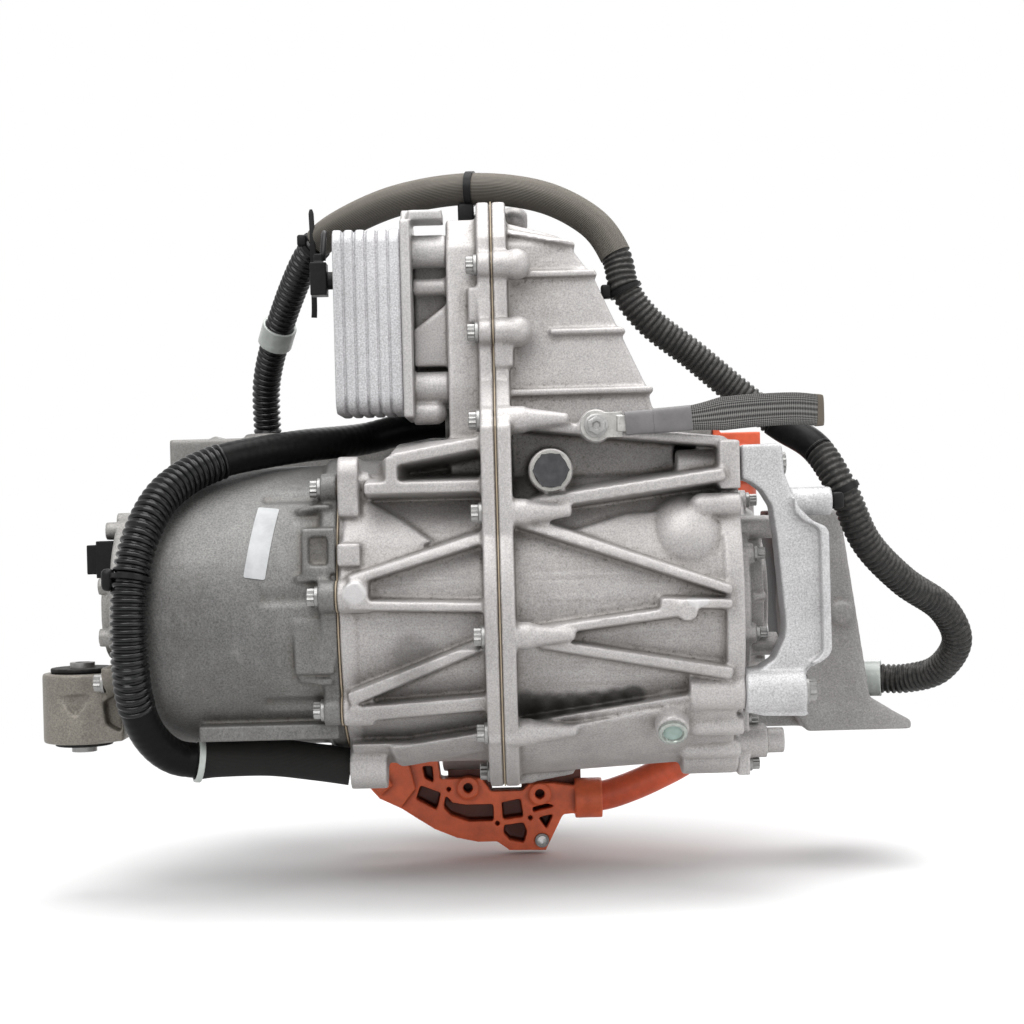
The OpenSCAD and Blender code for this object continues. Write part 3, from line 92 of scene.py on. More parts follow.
HV_ROUTE: Route = (
    (72, 152, -184), (95, 151, -180), (130, 146, -166), (165, 138, -145), (190, 125, -110), (200, 120, -40),
    (201, 122, 22), (202, 140, 48), (210, 158, 64), (212, 166, 78), (212, 166, 86),
)
STRAP_ROUTE: Route = (
    (98, -112.2, 135), (147, -112.2, 138), (175, -107, 141), (200, -100, 143), (228, -92, 144), (247, -80, 143),
)
FOLD_ROUTE: Route = ((246, -81, 143), (252, -76, 143), (253, -69, 142.5), (248, -63, 142))
TAIL_ROUTE: Route = ((-149.5, 41, 326), (-148.5, 38.5, 300), (-148.5, 39.5, 274), (-148.5, 40, 246), (-149, 41, 236))
LEAD_ROUTE: Route = ((-141, 46, 299), (-137, 22, 302), (-134, -14, 297), (-134, -30, 280), (-134, -30, 274))


def here(x: float, y: float, z: float) -> Vector:
    """Turns a point of the part's working frame, in mm, into the row frame, in metres.

    Args:
        x, y, z: the point along the shafts, towards the back and up.

    Returns:
        The same point in metres from the mouth of the right output.
    """
    return (Vector((x, y, z)) - MOUTH_MM) * MM


def route_point(route: Route, place: float) -> Vector:
    """Gives a point of the smooth curve through a route.

    Args:
        route: the points that the curve passes through, in mm.
        place: the number of the point, with a share of the way to the next.

    Returns:
        The point in the row frame, in metres.
    """
    last = len(route) - 1
    i = min(int(place), last - 1)
    t = place - i
    a, b, c, d = (Vector(route[max(0, min(last, k))]) for k in (i - 1, i, i + 1, i + 2))
    p = 0.5 * (2 * b + (c - a) * t + (2 * a - 5 * b + 4 * c - d) * t * t + (3 * b - a - 3 * c + d) * t**3)
    return here(*p)


class Bench:
    """The modelling moves that every piece uses."""

    @staticmethod
    def clear() -> None:
        """Leaves edit mode and deselects everything."""
        if bpy.context.object and bpy.context.object.mode != "OBJECT":
            bpy.ops.object.mode_set(mode="OBJECT")
        bpy.ops.object.select_all(action="DESELECT")

    @staticmethod
    def take(obj: Thing) -> Thing:
        """Makes one object the selected and active one."""
        Bench.clear()
        obj.select_set(True)
        bpy.context.view_layer.objects.active = obj
        return obj

    @staticmethod
    @contextmanager
    def edit(obj: Thing, mode: str = "VERT") -> Iterator[None]:
        """Opens an object in edit mode and closes it again.

        Args:
            obj: the object to shape.
            mode: which elements are selected, VERT, EDGE or FACE.
        """
        Bench.take(obj)
        bpy.ops.object.mode_set(mode="EDIT")
        bpy.ops.mesh.select_mode(type=mode)
        yield
        bpy.ops.object.mode_set(mode="OBJECT")

    @staticmethod
    def pick(obj: Thing, kind: str, test: Callable[[Vector, Vector], bool]) -> int:
        """Selects vertices, edges or faces by their place and direction.

        Args:
            obj: the object that is in edit mode.
            kind: verts, edges or faces.
            test: says yes to a middle and a direction; a vertex has no direction.

        Returns:
            How many were selected.
        """
        mesh = bmesh.from_edit_mesh(obj.data)
        for group in (mesh.verts, mesh.edges, mesh.faces):
            for item in group:
                item.select = False
        count = 0
        for item in getattr(mesh, kind):
            if kind == "verts":
                chosen = test(item.co, Vector())
            elif kind == "edges":
                a, b = (v.co for v in item.verts)
                chosen = test((a + b) / 2, (b - a).normalized())
            else:
                chosen = test(item.calc_center_median(), item.normal)
            if chosen:
                item.select = True
                count += 1
        if kind != "edges":
            mesh.select_flush(True)
        bmesh.update_edit_mesh(obj.data)
        return count

    @staticmethod
    def add(name: str, data: bpy.types.ID) -> Thing:
        """Adds an object with its data to the scene."""
        obj = bpy.data.objects.new(name, data)
        bpy.context.scene.collection.objects.link(obj)
        return obj

    @staticmethod
    def rod(sides: int, radius: float, start: float, end: float, axis: str = "X",
            fill: str = "NGON") -> Thing:
        """Models a rod along an axis, in metres.

        Args:
            sides: how many sides it has.
            radius: its radius.
            start, end: where it starts and ends along the axis.
            axis: X or Z.
            fill: how its ends are closed.

        Returns:
            The rod.
        """
        Bench.clear()
        middle = (start + end) / 2
        flat = axis == "X"
        bpy.ops.mesh.primitive_cylinder_add(
            vertices=sides, radius=radius, depth=end - start, end_fill_type=fill,
            location=(middle, 0, 0) if flat else (0, 0, middle), rotation=(0, math.pi / 2 if flat else 0, 0))
        rod = bpy.context.object
        Bench.settle(rod)
        return rod

    @staticmethod
    def outward(obj: Thing) -> None:
        """Turns every face of an object outwards."""
        with Bench.edit(obj):
            bpy.ops.mesh.select_all(action="SELECT")
            bpy.ops.mesh.normals_make_consistent(inside=False)

    @staticmethod
    def apply(obj: Thing) -> None:
        """Applies every modifier of an object."""
        Bench.take(obj)
        for name in [m.name for m in obj.modifiers]:
            bpy.ops.object.modifier_apply(modifier=name)

    @staticmethod
    def settle(obj: Thing) -> None:
        """Moves an object's place into its mesh."""
        obj.data.transform(obj.matrix_world)
        obj.matrix_world = Matrix.Identity(4)
        obj.data.update()

    @staticmethod
    def smooth(obj: Thing, degrees: float = 35.0) -> None:
        """Shades an object smooth up to an angle."""
        Bench.take(obj)
        bpy.ops.object.shade_smooth_by_angle(angle=math.radians(degrees))

    @staticmethod
    def join(objs: Sequence[Thing], name: str) -> Thing:
        """Joins objects into one piece.

        Args:
            objs: the objects, whose materials stay with their faces.
            name: the name of the piece.

        Returns:
            The joined piece.
        """
        Bench.clear()
        for obj in objs:
            obj.select_set(True)
        bpy.context.view_layer.objects.active = objs[0]
        if len(objs) > 1:
            bpy.ops.object.join()
        piece = objs[0]
        piece.name = name
        piece.data.name = name
        return piece

    @staticmethod
    def stamp(master: Thing, places: Sequence[Matrix], name: str) -> Thing:
        """Copies a master shape to several places and joins the copies.

        Args:
            master: the shape, at the origin. It is used up.
            places: where each copy goes.
            name: the name of the piece.

        Returns:
            The joined piece.
        """
        copies = []
        for place in places:
            copy = master.copy()
            copy.data = master.data.copy()
            copy.data.transform(place)
            bpy.context.scene.collection.objects.link(copy)
            copies.append(copy)
        bpy.data.objects.remove(master)
        return Bench.join(copies, name)


class Graph:
    """Builds the nodes of one material."""

    def __init__(self, name: str) -> None:
        """Starts a material with its shader."""
        self.material = bpy.data.materials.new(name)
        self.material.use_nodes = True
        self.nodes = self.material.node_tree.nodes
        self.links = self.material.node_tree.links
        self.shader = self.nodes["Principled BSDF"]
        self.place = self.nodes.new("ShaderNodeTexCoord")

    def put(self, node: bpy.types.Node, socket: "str | int", value) -> None:
        """Sets an input socket to a number or links another socket to it."""
        target = node.inputs[socket]
        if isinstance(value, Socket):
            self.links.new(value, target)
        elif isinstance(value, tuple) and target.type == "RGBA":
            target.default_value = (*value[:3], 1.0)
        else:
            target.default_value = value

    def set(self, **sockets) -> None:
        """Sets the shader's inputs, with an underscore for each space in a name."""
        for name, value in sockets.items():
            self.put(self.shader, name.replace("_", " ").title().replace("Ior", "IOR"), value)

    def noise(self, vector: Socket, scale: float, detail: float = 3.0,
              roughness: float = 0.55) -> Socket:
        """Adds a noise and gives its factor."""
        node = self.nodes.new("ShaderNodeTexNoise")
        for socket, value in (("Vector", vector), ("Scale", scale), ("Detail", detail), ("Roughness", roughness)):
            self.put(node, socket, value)
        return node.outputs["Fac"]

    def stretch(self, vector: Socket, scale: Colour) -> Socket:
        """Stretches a coordinate by a factor along each axis."""
        node = self.nodes.new("ShaderNodeMapping")
        self.put(node, "Vector", vector)
        node.inputs["Scale"].default_value = scale
        return node.outputs["Vector"]

    def math(self, operation: str, a, b=0.0, clamp: bool = False) -> Socket:
        """Adds a sum of two numbers or sockets."""
        node = self.nodes.new("ShaderNodeMath")
        node.operation = operation
        node.use_clamp = clamp
        self.put(node, 0, a)
        self.put(node, 1, b)
        return node.outputs[0]

    times = partialmethod(math, "MULTIPLY")
    plus = partialmethod(math, "ADD")
    minus = partialmethod(math, "SUBTRACT")
    part = partialmethod(math, "DIVIDE")

    def ramp(self, factor: Socket, stops: Sequence[tuple[float, float]]) -> Socket:
        """Maps a factor through grey stops, each a place and a level."""
        node = self.nodes.new("ShaderNodeValToRGB")
        self.put(node, "Fac", factor)
        points = node.color_ramp.elements
        while len(points) < len(stops):
            points.new(0.5)
        for point, (place, level) in zip(points, stops):
            point.position = place
            point.color = (level, level, level, 1.0)
        return node.outputs["Color"]

    def mix(self, factor, a, b, blend: str = "MIX") -> Socket:
        """Mixes two colours by a factor."""
        node = self.nodes.new("ShaderNodeMix")
        node.data_type = "RGBA"
        node.blend_type = blend
        node.clamp_result = True
        for index, value in ((0, factor), (6, a), (7, b)):
            self.put(node, index, value)
        return node.outputs[2]

    def attribute(self, name: str) -> Socket:
        """Reads a number that is kept on the mesh."""
        node = self.nodes.new("ShaderNodeAttribute")
        node.attribute_name = name
        return node.outputs["Fac"]

    def facing_up(self) -> Socket:
        """Gives how far the surface faces up, from -1 to 1."""
        return self.axis(self.nodes.new("ShaderNodeNewGeometry").outputs["Normal"], "Z")

    def axis(self, vector: Socket, name: str) -> Socket:
        """Gives one coordinate of a vector."""
        node = self.nodes.new("ShaderNodeSeparateXYZ")
        self.put(node, 0, vector)
        return node.outputs[name]

    def distance(self, point: Vector) -> Socket:
        """Gives how far the surface is from a point of the row frame."""
        node = self.nodes.new("ShaderNodeVectorMath")
        node.operation = "DISTANCE"
        self.put(node, 0, self.place.outputs["Object"])
        self.put(node, 1, point)
        return node.outputs["Value"]

    def bump(self, height: Socket, depth_mm: float,
             below: Optional[Socket] = None) -> Socket:
        """Adds a bump of a depth and gives its normal."""
        node = self.nodes.new("ShaderNodeBump")
        node.inputs["Strength"].default_value = 1.0
        node.inputs["Distance"].default_value = depth_mm * MM
        self.links.new(height, node.inputs["Height"])
        if below is not None:
            self.links.new(below, node.inputs["Normal"])
        return node.outputs["Normal"]


@dataclass(frozen=True)
class Spot:
    """A round stain, bright place or painted shade on a casting."""

    at_mm: Point
    reach_mm: float
    tone: Colour = (0.03, 0.027, 0.024)
    share: float = 0.76
    frayed: bool = True


@dataclass(frozen=True)
class CastFinish:
    """Blasted cast aluminium with fine grain, hollows darkened by dirt and painted shade, undersides darkened the same
    way, and convex edges lightened by painted highlight and rubbed wear.
    """

    name: str
    tone: Colour
    # The darkening tone and its strength serve both dirt and painted shade.
    darkening_tone: Colour = (0.095, 0.080, 0.064)
    dirt_and_shade: float = 0.5
    grain: float = 1.0
    metal: float = 0.4
    spots: tuple[Spot, ...] = ()
    mottle: float = 0.15
    fleck: float = 0.26
    scuffs: float = 0.0
    sheen: float = 0.5

    def make(self) -> bpy.types.Material:
        """Makes the material."""
        g = Graph(self.name)
        spot = g.place.outputs["Object"]
        grain = g.noise(spot, 760.0, 4.0, 0.72)
        cloud = g.noise(spot, 15.0, 4.0, 0.6)
        patch = g.noise(spot, 80.0, 4.0, 0.6)
        colour = g.mix(g.ramp(cloud, ((0.3, 0.0), (0.7, 1.0))), self._shade(1.0 - self.mottle),
                       self._shade(1.0 + self.mottle * 0.8))
        colour = g.mix(self.fleck, colour, g.ramp(grain, ((0.35, 0.0), (0.65, 1.0))), "OVERLAY")
        if self.scuffs:
            scuff = g.ramp(g.noise(g.stretch(spot, (1.0, 1.0, 0.5)), 95.0, 6.0, 0.75), ((0.56, 0.0), (0.68, 1.0)))
            colour = g.mix(g.times(scuff, self.scuffs), colour, self._shade(1.9))
        # Hollows take the darkening tone: partly dirt, partly painted shade where shade falls in recesses; the crumbs
        # are dirt.
        hollow = g.attribute("hollow")
        deep = g.times(g.minus(0.0, hollow, True), g.plus(patch, 0.35), True)
        colour = g.mix(g.times(deep, self.dirt_and_shade, True), colour, self.darkening_tone)
        crumbs = g.ramp(g.noise(spot, 330.0, 3.0, 0.7), ((0.56, 0.0), (0.66, 1.0)))
        crumbs = g.times(crumbs, g.times(deep, 1.4, True))
        colour = g.mix(g.times(crumbs, self.dirt_and_shade, True), colour, tuple(c * 0.5 for c in self.darkening_tone))
        drift = g.ramp(g.noise(g.stretch(spot, (1.0, 1.0, 0.45)), 24.0, 5.0, 0.66), ((0.5, 0.0), (0.78, 1.0)))
        colour = g.mix(g.times(drift, self.dirt_and_shade * 0.34), colour, self.darkening_tone)
        # Faces turned down are darkened: partly road dirt, partly painted shade on the undersides.
        below = g.times(g.minus(-0.15, g.facing_up(), True), g.plus(patch, 0.4), True)
        colour = g.mix(g.times(below, self.dirt_and_shade * 0.45, True), colour, self.darkening_tone)
        for mark in self.spots:
            colour = self._mark(g, colour, mark, patch)
        # Convex edges are lightened: painted highlight, partly rubbed wear.
        edge_highlight_and_wear = g.times(g.math("MAXIMUM", hollow, 0.0), g.plus(grain, 0.25), True)
        colour = g.mix(g.times(edge_highlight_and_wear, 0.32), colour, self._shade(1.35))
        normal = g.bump(patch, 0.2 * self.grain, g.bump(grain, 0.15 * self.grain))
        g.set(base_color=colour, metallic=self.metal, specular_ior_level=self.sheen, normal=normal,
              roughness=g.plus(g.times(grain, 0.2), 0.40))
        return g.material

    def _shade(self, share: float) -> Colour:
        """Gives the tone, lightened or darkened by a share."""
        return tuple(min(1.0, c * share) for c in self.tone)

    def _mark(self, g: Graph, colour: Socket, mark: Spot,
              patch: Socket) -> Socket:
        """Colours the surface around a point.

        Args:
            g: the material's nodes.
            colour: the colour so far.
            mark: the stain, bright place or painted shade.
            patch: the noise that frays its edge.

        Returns:
            The colour with the mark.
        """
        near = g.minus(1.0, g.part(g.distance(here(*mark.at_mm)), mark.reach_mm * MM), True)
        near = g.times(near, g.times(patch, 5.0) if mark.frayed else 6.0, True)
        return g.mix(g.times(near, mark.share), colour, mark.tone)


@dataclass(frozen=True)
class SteelFinish:
    """Plated or ground steel with fine turning marks."""

    name: str
    tone: Colour
    roughness: float = 0.36
    metal: float = 0.85
    darkening_tone: Colour = (0.06, 0.055, 0.048)

    def make(self) -> bpy.types.Material:
        """Makes the material."""
        g = Graph(self.name)
        spot = g.place.outputs["Object"]
        grain = g.noise(spot, 900.0, 2.0)
        cloud = g.noise(spot, 130.0, 4.0)
        colour = g.mix(g.ramp(cloud, ((0.35, 0.0), (0.7, 1.0))), tuple(c * 0.72 for c in self.tone), self.tone)
        colour = g.mix(g.times(g.ramp(grain, ((0.55, 0.0), (0.75, 1.0))), 0.4), colour, self.darkening_tone)
        g.set(base_color=colour, metallic=self.metal,
              roughness=g.plus(g.times(cloud, 0.25), self.roughness - 0.1),
              normal=g.bump(grain, 0.06))
        return g.material


@dataclass(frozen=True)
class PlasticFinish:
    """Moulded plastic or rubber with dust on what faces up, painted shade in creases and, where given, a band of
    painted shade along Y.
    """

    name: str
    tone: Colour
    roughness: float = 0.42
    dust: float = 0.25
    dust_tone: Colour = (0.22, 0.205, 0.18)
    grain_mm: float = 0.05
    grain_scale: float = 500.0
    sheen: float = 0.5
    shaded_y_mm: Optional[tuple[float, float]] = None

    def make(self) -> bpy.types.Material:
        """Makes the material."""
        g = Graph(self.name)
        spot = g.place.outputs["Object"]
        grain = g.noise(spot, self.grain_scale, 3.0)
        cloud = g.noise(spot, 45.0, 5.0, 0.65)
        colour = g.mix(g.ramp(cloud, ((0.3, 0.0), (0.75, 1.0))), tuple(c * 0.75 for c in self.tone),
                       tuple(min(1.0, c * 1.2) for c in self.tone))
        lying = g.plus(g.times(g.facing_up(), 0.6), 0.35, True)
        speck = g.ramp(g.noise(spot, 240.0, 5.0, 0.7), ((0.42, 0.0), (0.74, 1.0)))
        settled = g.times(g.times(lying, speck), self.dust, True)
        colour = g.mix(settled, colour, self.dust_tone)
        # Creases are darkened towards a near-black copy of the tone: painted shade.
        dark = tuple(c * 0.12 for c in self.tone)
        painted_crease_shade = g.minus(0.0, g.attribute("hollow"), True)
        colour = g.mix(g.times(painted_crease_shade, 0.6), colour, dark)
        # Between the two Y depths the colour is darkened to near black: painted shade where the duct lies behind the
        # case.
        if self.shaded_y_mm:
            depth = g.axis(spot, "Y")
            near, far = (here(0, y, 0).y for y in self.shaded_y_mm)
            behind = g.part(g.minus(depth, near), 0.012, True)
            before = g.math("LESS_THAN", depth, far)
            colour = g.mix(g.times(g.times(behind, before), 0.94), colour, dark)
        g.set(base_color=colour,
              roughness=g.plus(g.times(cloud, 0.16), self.roughness - 0.08),
              specular_ior_level=self.sheen, normal=g.bump(grain, self.grain_mm))
        return g.material


@dataclass(frozen=True)
class BraidFinish:
    """Woven sleeve whose strands follow the piece's own map."""

    name: str
    tone: Colour
    light: Colour
    around: float
    along: float
    dust: float = 0.3
    dust_tone: Colour = (0.24, 0.22, 0.19)
    relief_mm: float = 0.5

    def make(self) -> bpy.types.Material:
        """Makes the material."""
        g = Graph(self.name)
        around, along = (g.axis(g.place.outputs["UV"], name) for name in "XY")
        u = g.times(around, self.around * 2 * math.pi)
        v = g.times(along, self.along * 2 * math.pi)
        left = g.math("SINE", g.plus(u, v))
        right = g.math("SINE", g.minus(u, v))
        over = g.plus(g.times(g.times(left, right), 0.5), 0.5)
        spot = g.place.outputs["Object"]
        cloud = g.noise(spot, 30.0, 5.0, 0.65)
        colour = g.mix(g.ramp(over, ((0.2, 0.0), (0.85, 1.0))), self.tone, self.light)
        streak = g.nodes.new("ShaderNodeCombineXYZ")
        g.links.new(g.times(around, 11.0), streak.inputs["X"])
        g.links.new(g.times(cloud, 1.5), streak.inputs["Y"])
        worn = g.ramp(g.noise(streak.outputs[0], 1.0, 3.0), ((0.3, 0.25), (0.66, 1.0)))
        lying = g.plus(g.times(g.facing_up(), 0.75), 0.28, True)
        settled = g.times(g.times(lying, worn), g.plus(g.times(over, 0.7), 0.4))
        colour = g.mix(g.times(settled, self.dust, True), colour, self.dust_tone)
        g.set(base_color=colour, roughness=g.plus(g.times(cloud, 0.2), 0.6),
              specular_ior_level=0.25, normal=g.bump(over, self.relief_mm))
        return g.material


class Paint(Enum):
    """The finishes of the unit, by the record's slot or by piece."""

    CASE = CastFinish("case_casting", (0.405, 0.390, 0.384), dirt_and_shade=0.6, spots=(
        Spot((16, -88, -80), 19), Spot((34, -86, -82), 20), Spot((52, -86, -81), 19), Spot((70, -87, -79), 17),
        Spot((86, -89, -76), 15), Spot((100, -92, -71), 12), Spot((24, -100, 10), 16, (0.05, 0.045, 0.04), 0.5),
        Spot((-66, -112, -40), 24, (0.07, 0.064, 0.058), 0.45),
        Spot((-108, -133, 13.6), 9.5, (0.60, 0.595, 0.60), 0.6, False),
        Spot((148, -133, 4), 9.5, (0.60, 0.595, 0.60), 0.6, False),
    ))
    MOTOR = CastFinish("motor_casting", (0.145, 0.143, 0.139), dirt_and_shade=0.5, grain=1.4, mottle=0.24, fleck=0.4,
                       scuffs=0.35)
    BRACKET = CastFinish("bracket_casting", (0.48, 0.476, 0.482), dirt_and_shade=0.3, grain=1.2, fleck=0.3)
    ARM = CastFinish("arm_casting", (0.205, 0.188, 0.162), dirt_and_shade=0.55, grain=1.4, mottle=0.2, fleck=0.36)
    INVERTER = CastFinish("inverter_casting", (0.21, 0.203, 0.194), dirt_and_shade=0.55)
    HOOD = CastFinish("hood_casting", (0.295, 0.287, 0.282), dirt_and_shade=0.6, metal=0.05, sheen=0.1, spots=(
        # These two dark spots are painted shade on the hood's inner wall, standing in for the dark gap between the
        # cover and the bracket.
        Spot((224, 100, 28), 58, (0.009, 0.008, 0.008), 0.97, False),
        Spot((228, 120, -26), 58, (0.009, 0.008, 0.008), 0.97, False),
    ))
    COOLER = CastFinish("cooler_casting", (0.42, 0.408, 0.404), dirt_and_shade=0.45, metal=0.5)
    PLATES = CastFinish("cooler_plates", (0.50, 0.496, 0.508), dirt_and_shade=0.3, grain=1.3, metal=0.4, fleck=0.34)
    END = CastFinish("end_casting", (0.27, 0.262, 0.25), dirt_and_shade=0.55, grain=1.3, mottle=0.2, fleck=0.34)
    BOLT = SteelFinish("flange_bolt_steel", (0.36, 0.357, 0.35), 0.38, 0.75)
    PLUG = SteelFinish("dark_plug_steel", (0.085, 0.085, 0.09), 0.34)
    WASHER = SteelFinish("bright_washer", (0.60, 0.585, 0.55), 0.3)
    LEVEL = SteelFinish("level_plug_plating", (0.44, 0.47, 0.44), 0.22, 0.55)
    LUG = SteelFinish("tinned_lug", (0.56, 0.55, 0.53), 0.36, 0.6)
    GEAR = SteelFinish("ground_steel", (0.34, 0.35, 0.36), 0.28)
    IRON = SteelFinish("machined_iron", (0.2, 0.19, 0.17), 0.5, 0.6)
    LAMINATION = SteelFinish("stacked_sheet", (0.14, 0.145, 0.15), 0.5, 0.6)
    COPPER = SteelFinish("varnished_copper", (0.45, 0.15, 0.045), 0.35, 0.8)
    GASKET = PlasticFinish("tan_sealant", (0.33, 0.265, 0.185), 0.6, 0.1)
    RUBBER = PlasticFinish("bush_rubber", (0.012, 0.012, 0.012), 0.6, 0.2, sheen=0.15)
    BLACK = PlasticFinish("moulded_black", (0.008, 0.008, 0.0085), 0.4, 0.06, sheen=0.16)
    GLOSS_CONDUIT = PlasticFinish("glossy_black_conduit", (0.005, 0.005, 0.0053), 0.24, 0.05, (0.12, 0.113, 0.10),
                                  sheen=0.3)
    SMOOTH_TUBE = PlasticFinish("smooth_black_tube", (0.006, 0.006, 0.0062), 0.36, 0.05, sheen=0.08)
    GREY_CONDUIT = PlasticFinish("dusty_conduit", (0.030, 0.0293, 0.0285), 0.42, 0.75, (0.2, 0.192, 0.178), sheen=0.16)
    SHRINK = PlasticFinish("shrink_tube", (0.155, 0.149, 0.150), 0.5, 0.3, (0.27, 0.26, 0.25), 0.1)
    FRAY = PlasticFinish("strap_backing", (0.12, 0.10, 0.078), 0.7, 0.2)
    COLLAR = PlasticFinish("pale_collar", (0.47, 0.50, 0.475), 0.26, 0.1)
    ORANGE = PlasticFinish("orange_moulding", (0.72, 0.118, 0.048), 0.42, 0.08, (0.30, 0.13, 0.075))
    # The duct is painted near black between Y 144 and 164.5 mm: painted shade behind the case.
    DUCT = PlasticFinish("orange_duct", (0.80, 0.155, 0.06), 0.45, 0.06, (0.42, 0.2, 0.11), shaded_y_mm=(144, 164.5))
    BOARD = PlasticFinish("green_board", (0.03, 0.15, 0.045), 0.35, 0.0)
    POTTING = PlasticFinish("potted_block", (0.03, 0.032, 0.036), 0.5, 0.0)
    STICKER = PlasticFinish("blank_sticker", (0.47, 0.48, 0.49), 0.45, 0.1, (0.45, 0.43, 0.4), 0.02)
    PANE = PlasticFinish("pale_pane", (0.27, 0.36, 0.325), 0.1, 0.0, grain_mm=0.0)
    SLEEVE = BraidFinish("dusty_sleeve", (0.018, 0.017, 0.015), (0.22, 0.202, 0.175), 34, 4, 1.1,
                         (0.36, 0.328, 0.285), 0.8)
    DARK_SLEEVE = BraidFinish("dark_sleeve", (0.007, 0.007, 0.007), (0.024, 0.023, 0.022), 44, 6, 0.06)
    STRAP = BraidFinish("strap_weave", (0.014, 0.0135, 0.0135), (0.25, 0.246, 0.238), 18, 3.2, 0.1, relief_mm=0.6)

    def material(self) -> bpy.types.Material:
        """Gives the finish's material, made on first use."""
        return bpy.data.materials.get(self.value.name) or self.value.make()


SLOT_PAINT: dict[str, Paint] = {
    "cast_case": Paint.CASE, "cast_motor": Paint.MOTOR, "cast_bracket": Paint.BRACKET,
    "cast_inverter": Paint.INVERTER, "cooler": Paint.COOLER, "bolt_steel": Paint.BOLT, "gasket": Paint.GASKET,
    "rubber": Paint.RUBBER, "plug_steel": Paint.PLUG, "washer": Paint.WASHER, "level_plug": Paint.LEVEL,
    "black_plastic": Paint.BLACK, "black_conduit": Paint.GLOSS_CONDUIT, "grey_conduit": Paint.GREY_CONDUIT,
    "collar": Paint.COLLAR, "hv_orange": Paint.ORANGE, "strap": Paint.STRAP, "lamination": Paint.LAMINATION,
    "copper": Paint.COPPER, "gear_steel": Paint.GEAR, "diff_iron": Paint.IRON, "board": Paint.BOARD,
    "potting": Paint.POTTING,
}


def dress(piece: Thing, paint: Paint, nodes: Sequence[str] = ()) -> Thing:
    """Gives a new piece its finish and ties it to the frame.

    Args:
        piece: the finished piece, at the origin.
        paint: its finish.
        nodes: the CAD nodes that it stands for.

    Returns:
        The piece.
    """
    piece.data.materials.clear()
    piece.data.materials.append(paint.material())
    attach(piece, HOUSING)
    if nodes:
        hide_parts(*nodes)
    LOG.info("%s: %d faces", piece.name, len(piece.data.polygons))
    return piece


@dataclass
class Casting:
    """A cast or moulded node, rebuilt with rounded edges and fillets."""

    node: str
    paint: Paint
    slot: str
    voxel_mm: float = 1.5
    rounds: int = 5
    most_faces: int = 150000
    hollow_mm: float = 1.2
    reach: int = 36

    def build(self) -> Thing:
        """Copies the node, rounds it and dresses it."""
        source = frame["nodes"][self.node]
        piece = Bench.add(self.node + "_cast", source.data.copy())
        with Bench.edit(piece):
            bpy.ops.mesh.select_all(action="SELECT")
            bpy.ops.mesh.remove_doubles(threshold=1e-5)
        remesh = piece.modifiers.new("skin", "REMESH")
        remesh.mode = "VOXEL"
        remesh.voxel_size = self.voxel_mm * MM
        Bench.apply(piece)
        self._round_off(piece)
        self._thin(piece)
        for face in piece.data.polygons:
            face.use_smooth = True
        return dress(piece, self.paint, (self.node,))

    def _round_off(self, piece: Thing) -> None:
        """Evens the mesh out and keeps how hollow each place is."""
        mesh = piece.data
        count = len(mesh.vertices)
        place = np.empty(count * 3, np.float32)
        mesh.vertices.foreach_get("co", place)
        place = place.reshape(-1, 3).astype(np.float64)
        edges = np.empty(len(mesh.edges) * 2, np.int32)
        mesh.edges.foreach_get("vertices", edges)
        a, b = edges[0::2], edges[1::2]
        degree = np.maximum(np.bincount(a, minlength=count) + np.bincount(b, minlength=count), 1)[:, None]

        def evened(points: np.ndarray) -> np.ndarray:
            """Gives the points half-way to the mean of their neighbours."""
            mean = np.stack([
                np.bincount(a, points[b, k], count) + np.bincount(b, points[a, k], count) for k in range(3)
            ], axis=1) / degree
            return (points + mean) / 2

        for _ in range(self.rounds):
            place = evened(place)
        mesh.vertices.foreach_set("co", place.astype(np.float32).ravel())
        mesh.update()
        soft = place
        for _ in range(self.reach):
            soft = evened(soft)
        normal = np.empty(count * 3, np.float32)
        mesh.vertex_normals.foreach_get("vector", normal)
        rise = np.einsum("ij,ij->i", place - soft, normal.reshape(-1, 3)) / (self.hollow_mm * MM)
        self.points, self.rise = place, np.clip(rise, -1.0, 1.0)

    def _thin(self, piece: Thing) -> None:
        """Thins the mesh to its most faces and writes the hollows on it."""
        triangles = 2 * len(piece.data.polygons)
        if triangles > self.most_faces:
            thin = piece.modifiers.new("thin", "DECIMATE")
            thin.ratio = self.most_faces / triangles
            Bench.apply(piece)
        tree = kdtree.KDTree(len(self.points))
        for i, point in enumerate(self.points):
            tree.insert(point, i)
        tree.balance()
        nearest = [tree.find(v.co)[1] for v in piece.data.vertices]
        kept = piece.data.attributes.new("hollow", "FLOAT", "POINT")
        kept.data.foreach_set("value", self.rise[nearest].astype(np.float32))


class Cover(Enum):
    """What a run of conduit is covered with: cell length in mm and radius shares along it."""

    RIBBED = (5.6, (0.86, 0.87, 0.97, 1.02, 1.03, 1.02, 0.97, 0.87))
    FINE_RIBBED = (4.6, (0.90, 0.91, 0.985, 1.02, 1.03, 1.02, 0.985, 0.91))
    BRAIDED = (6.0, (1.0, 1.0, 1.0, 1.0))
    PLAIN = (6.0, (1.0, 1.0))
    CREASED = (7.0, (0.985, 1.0, 1.0, 1.0))


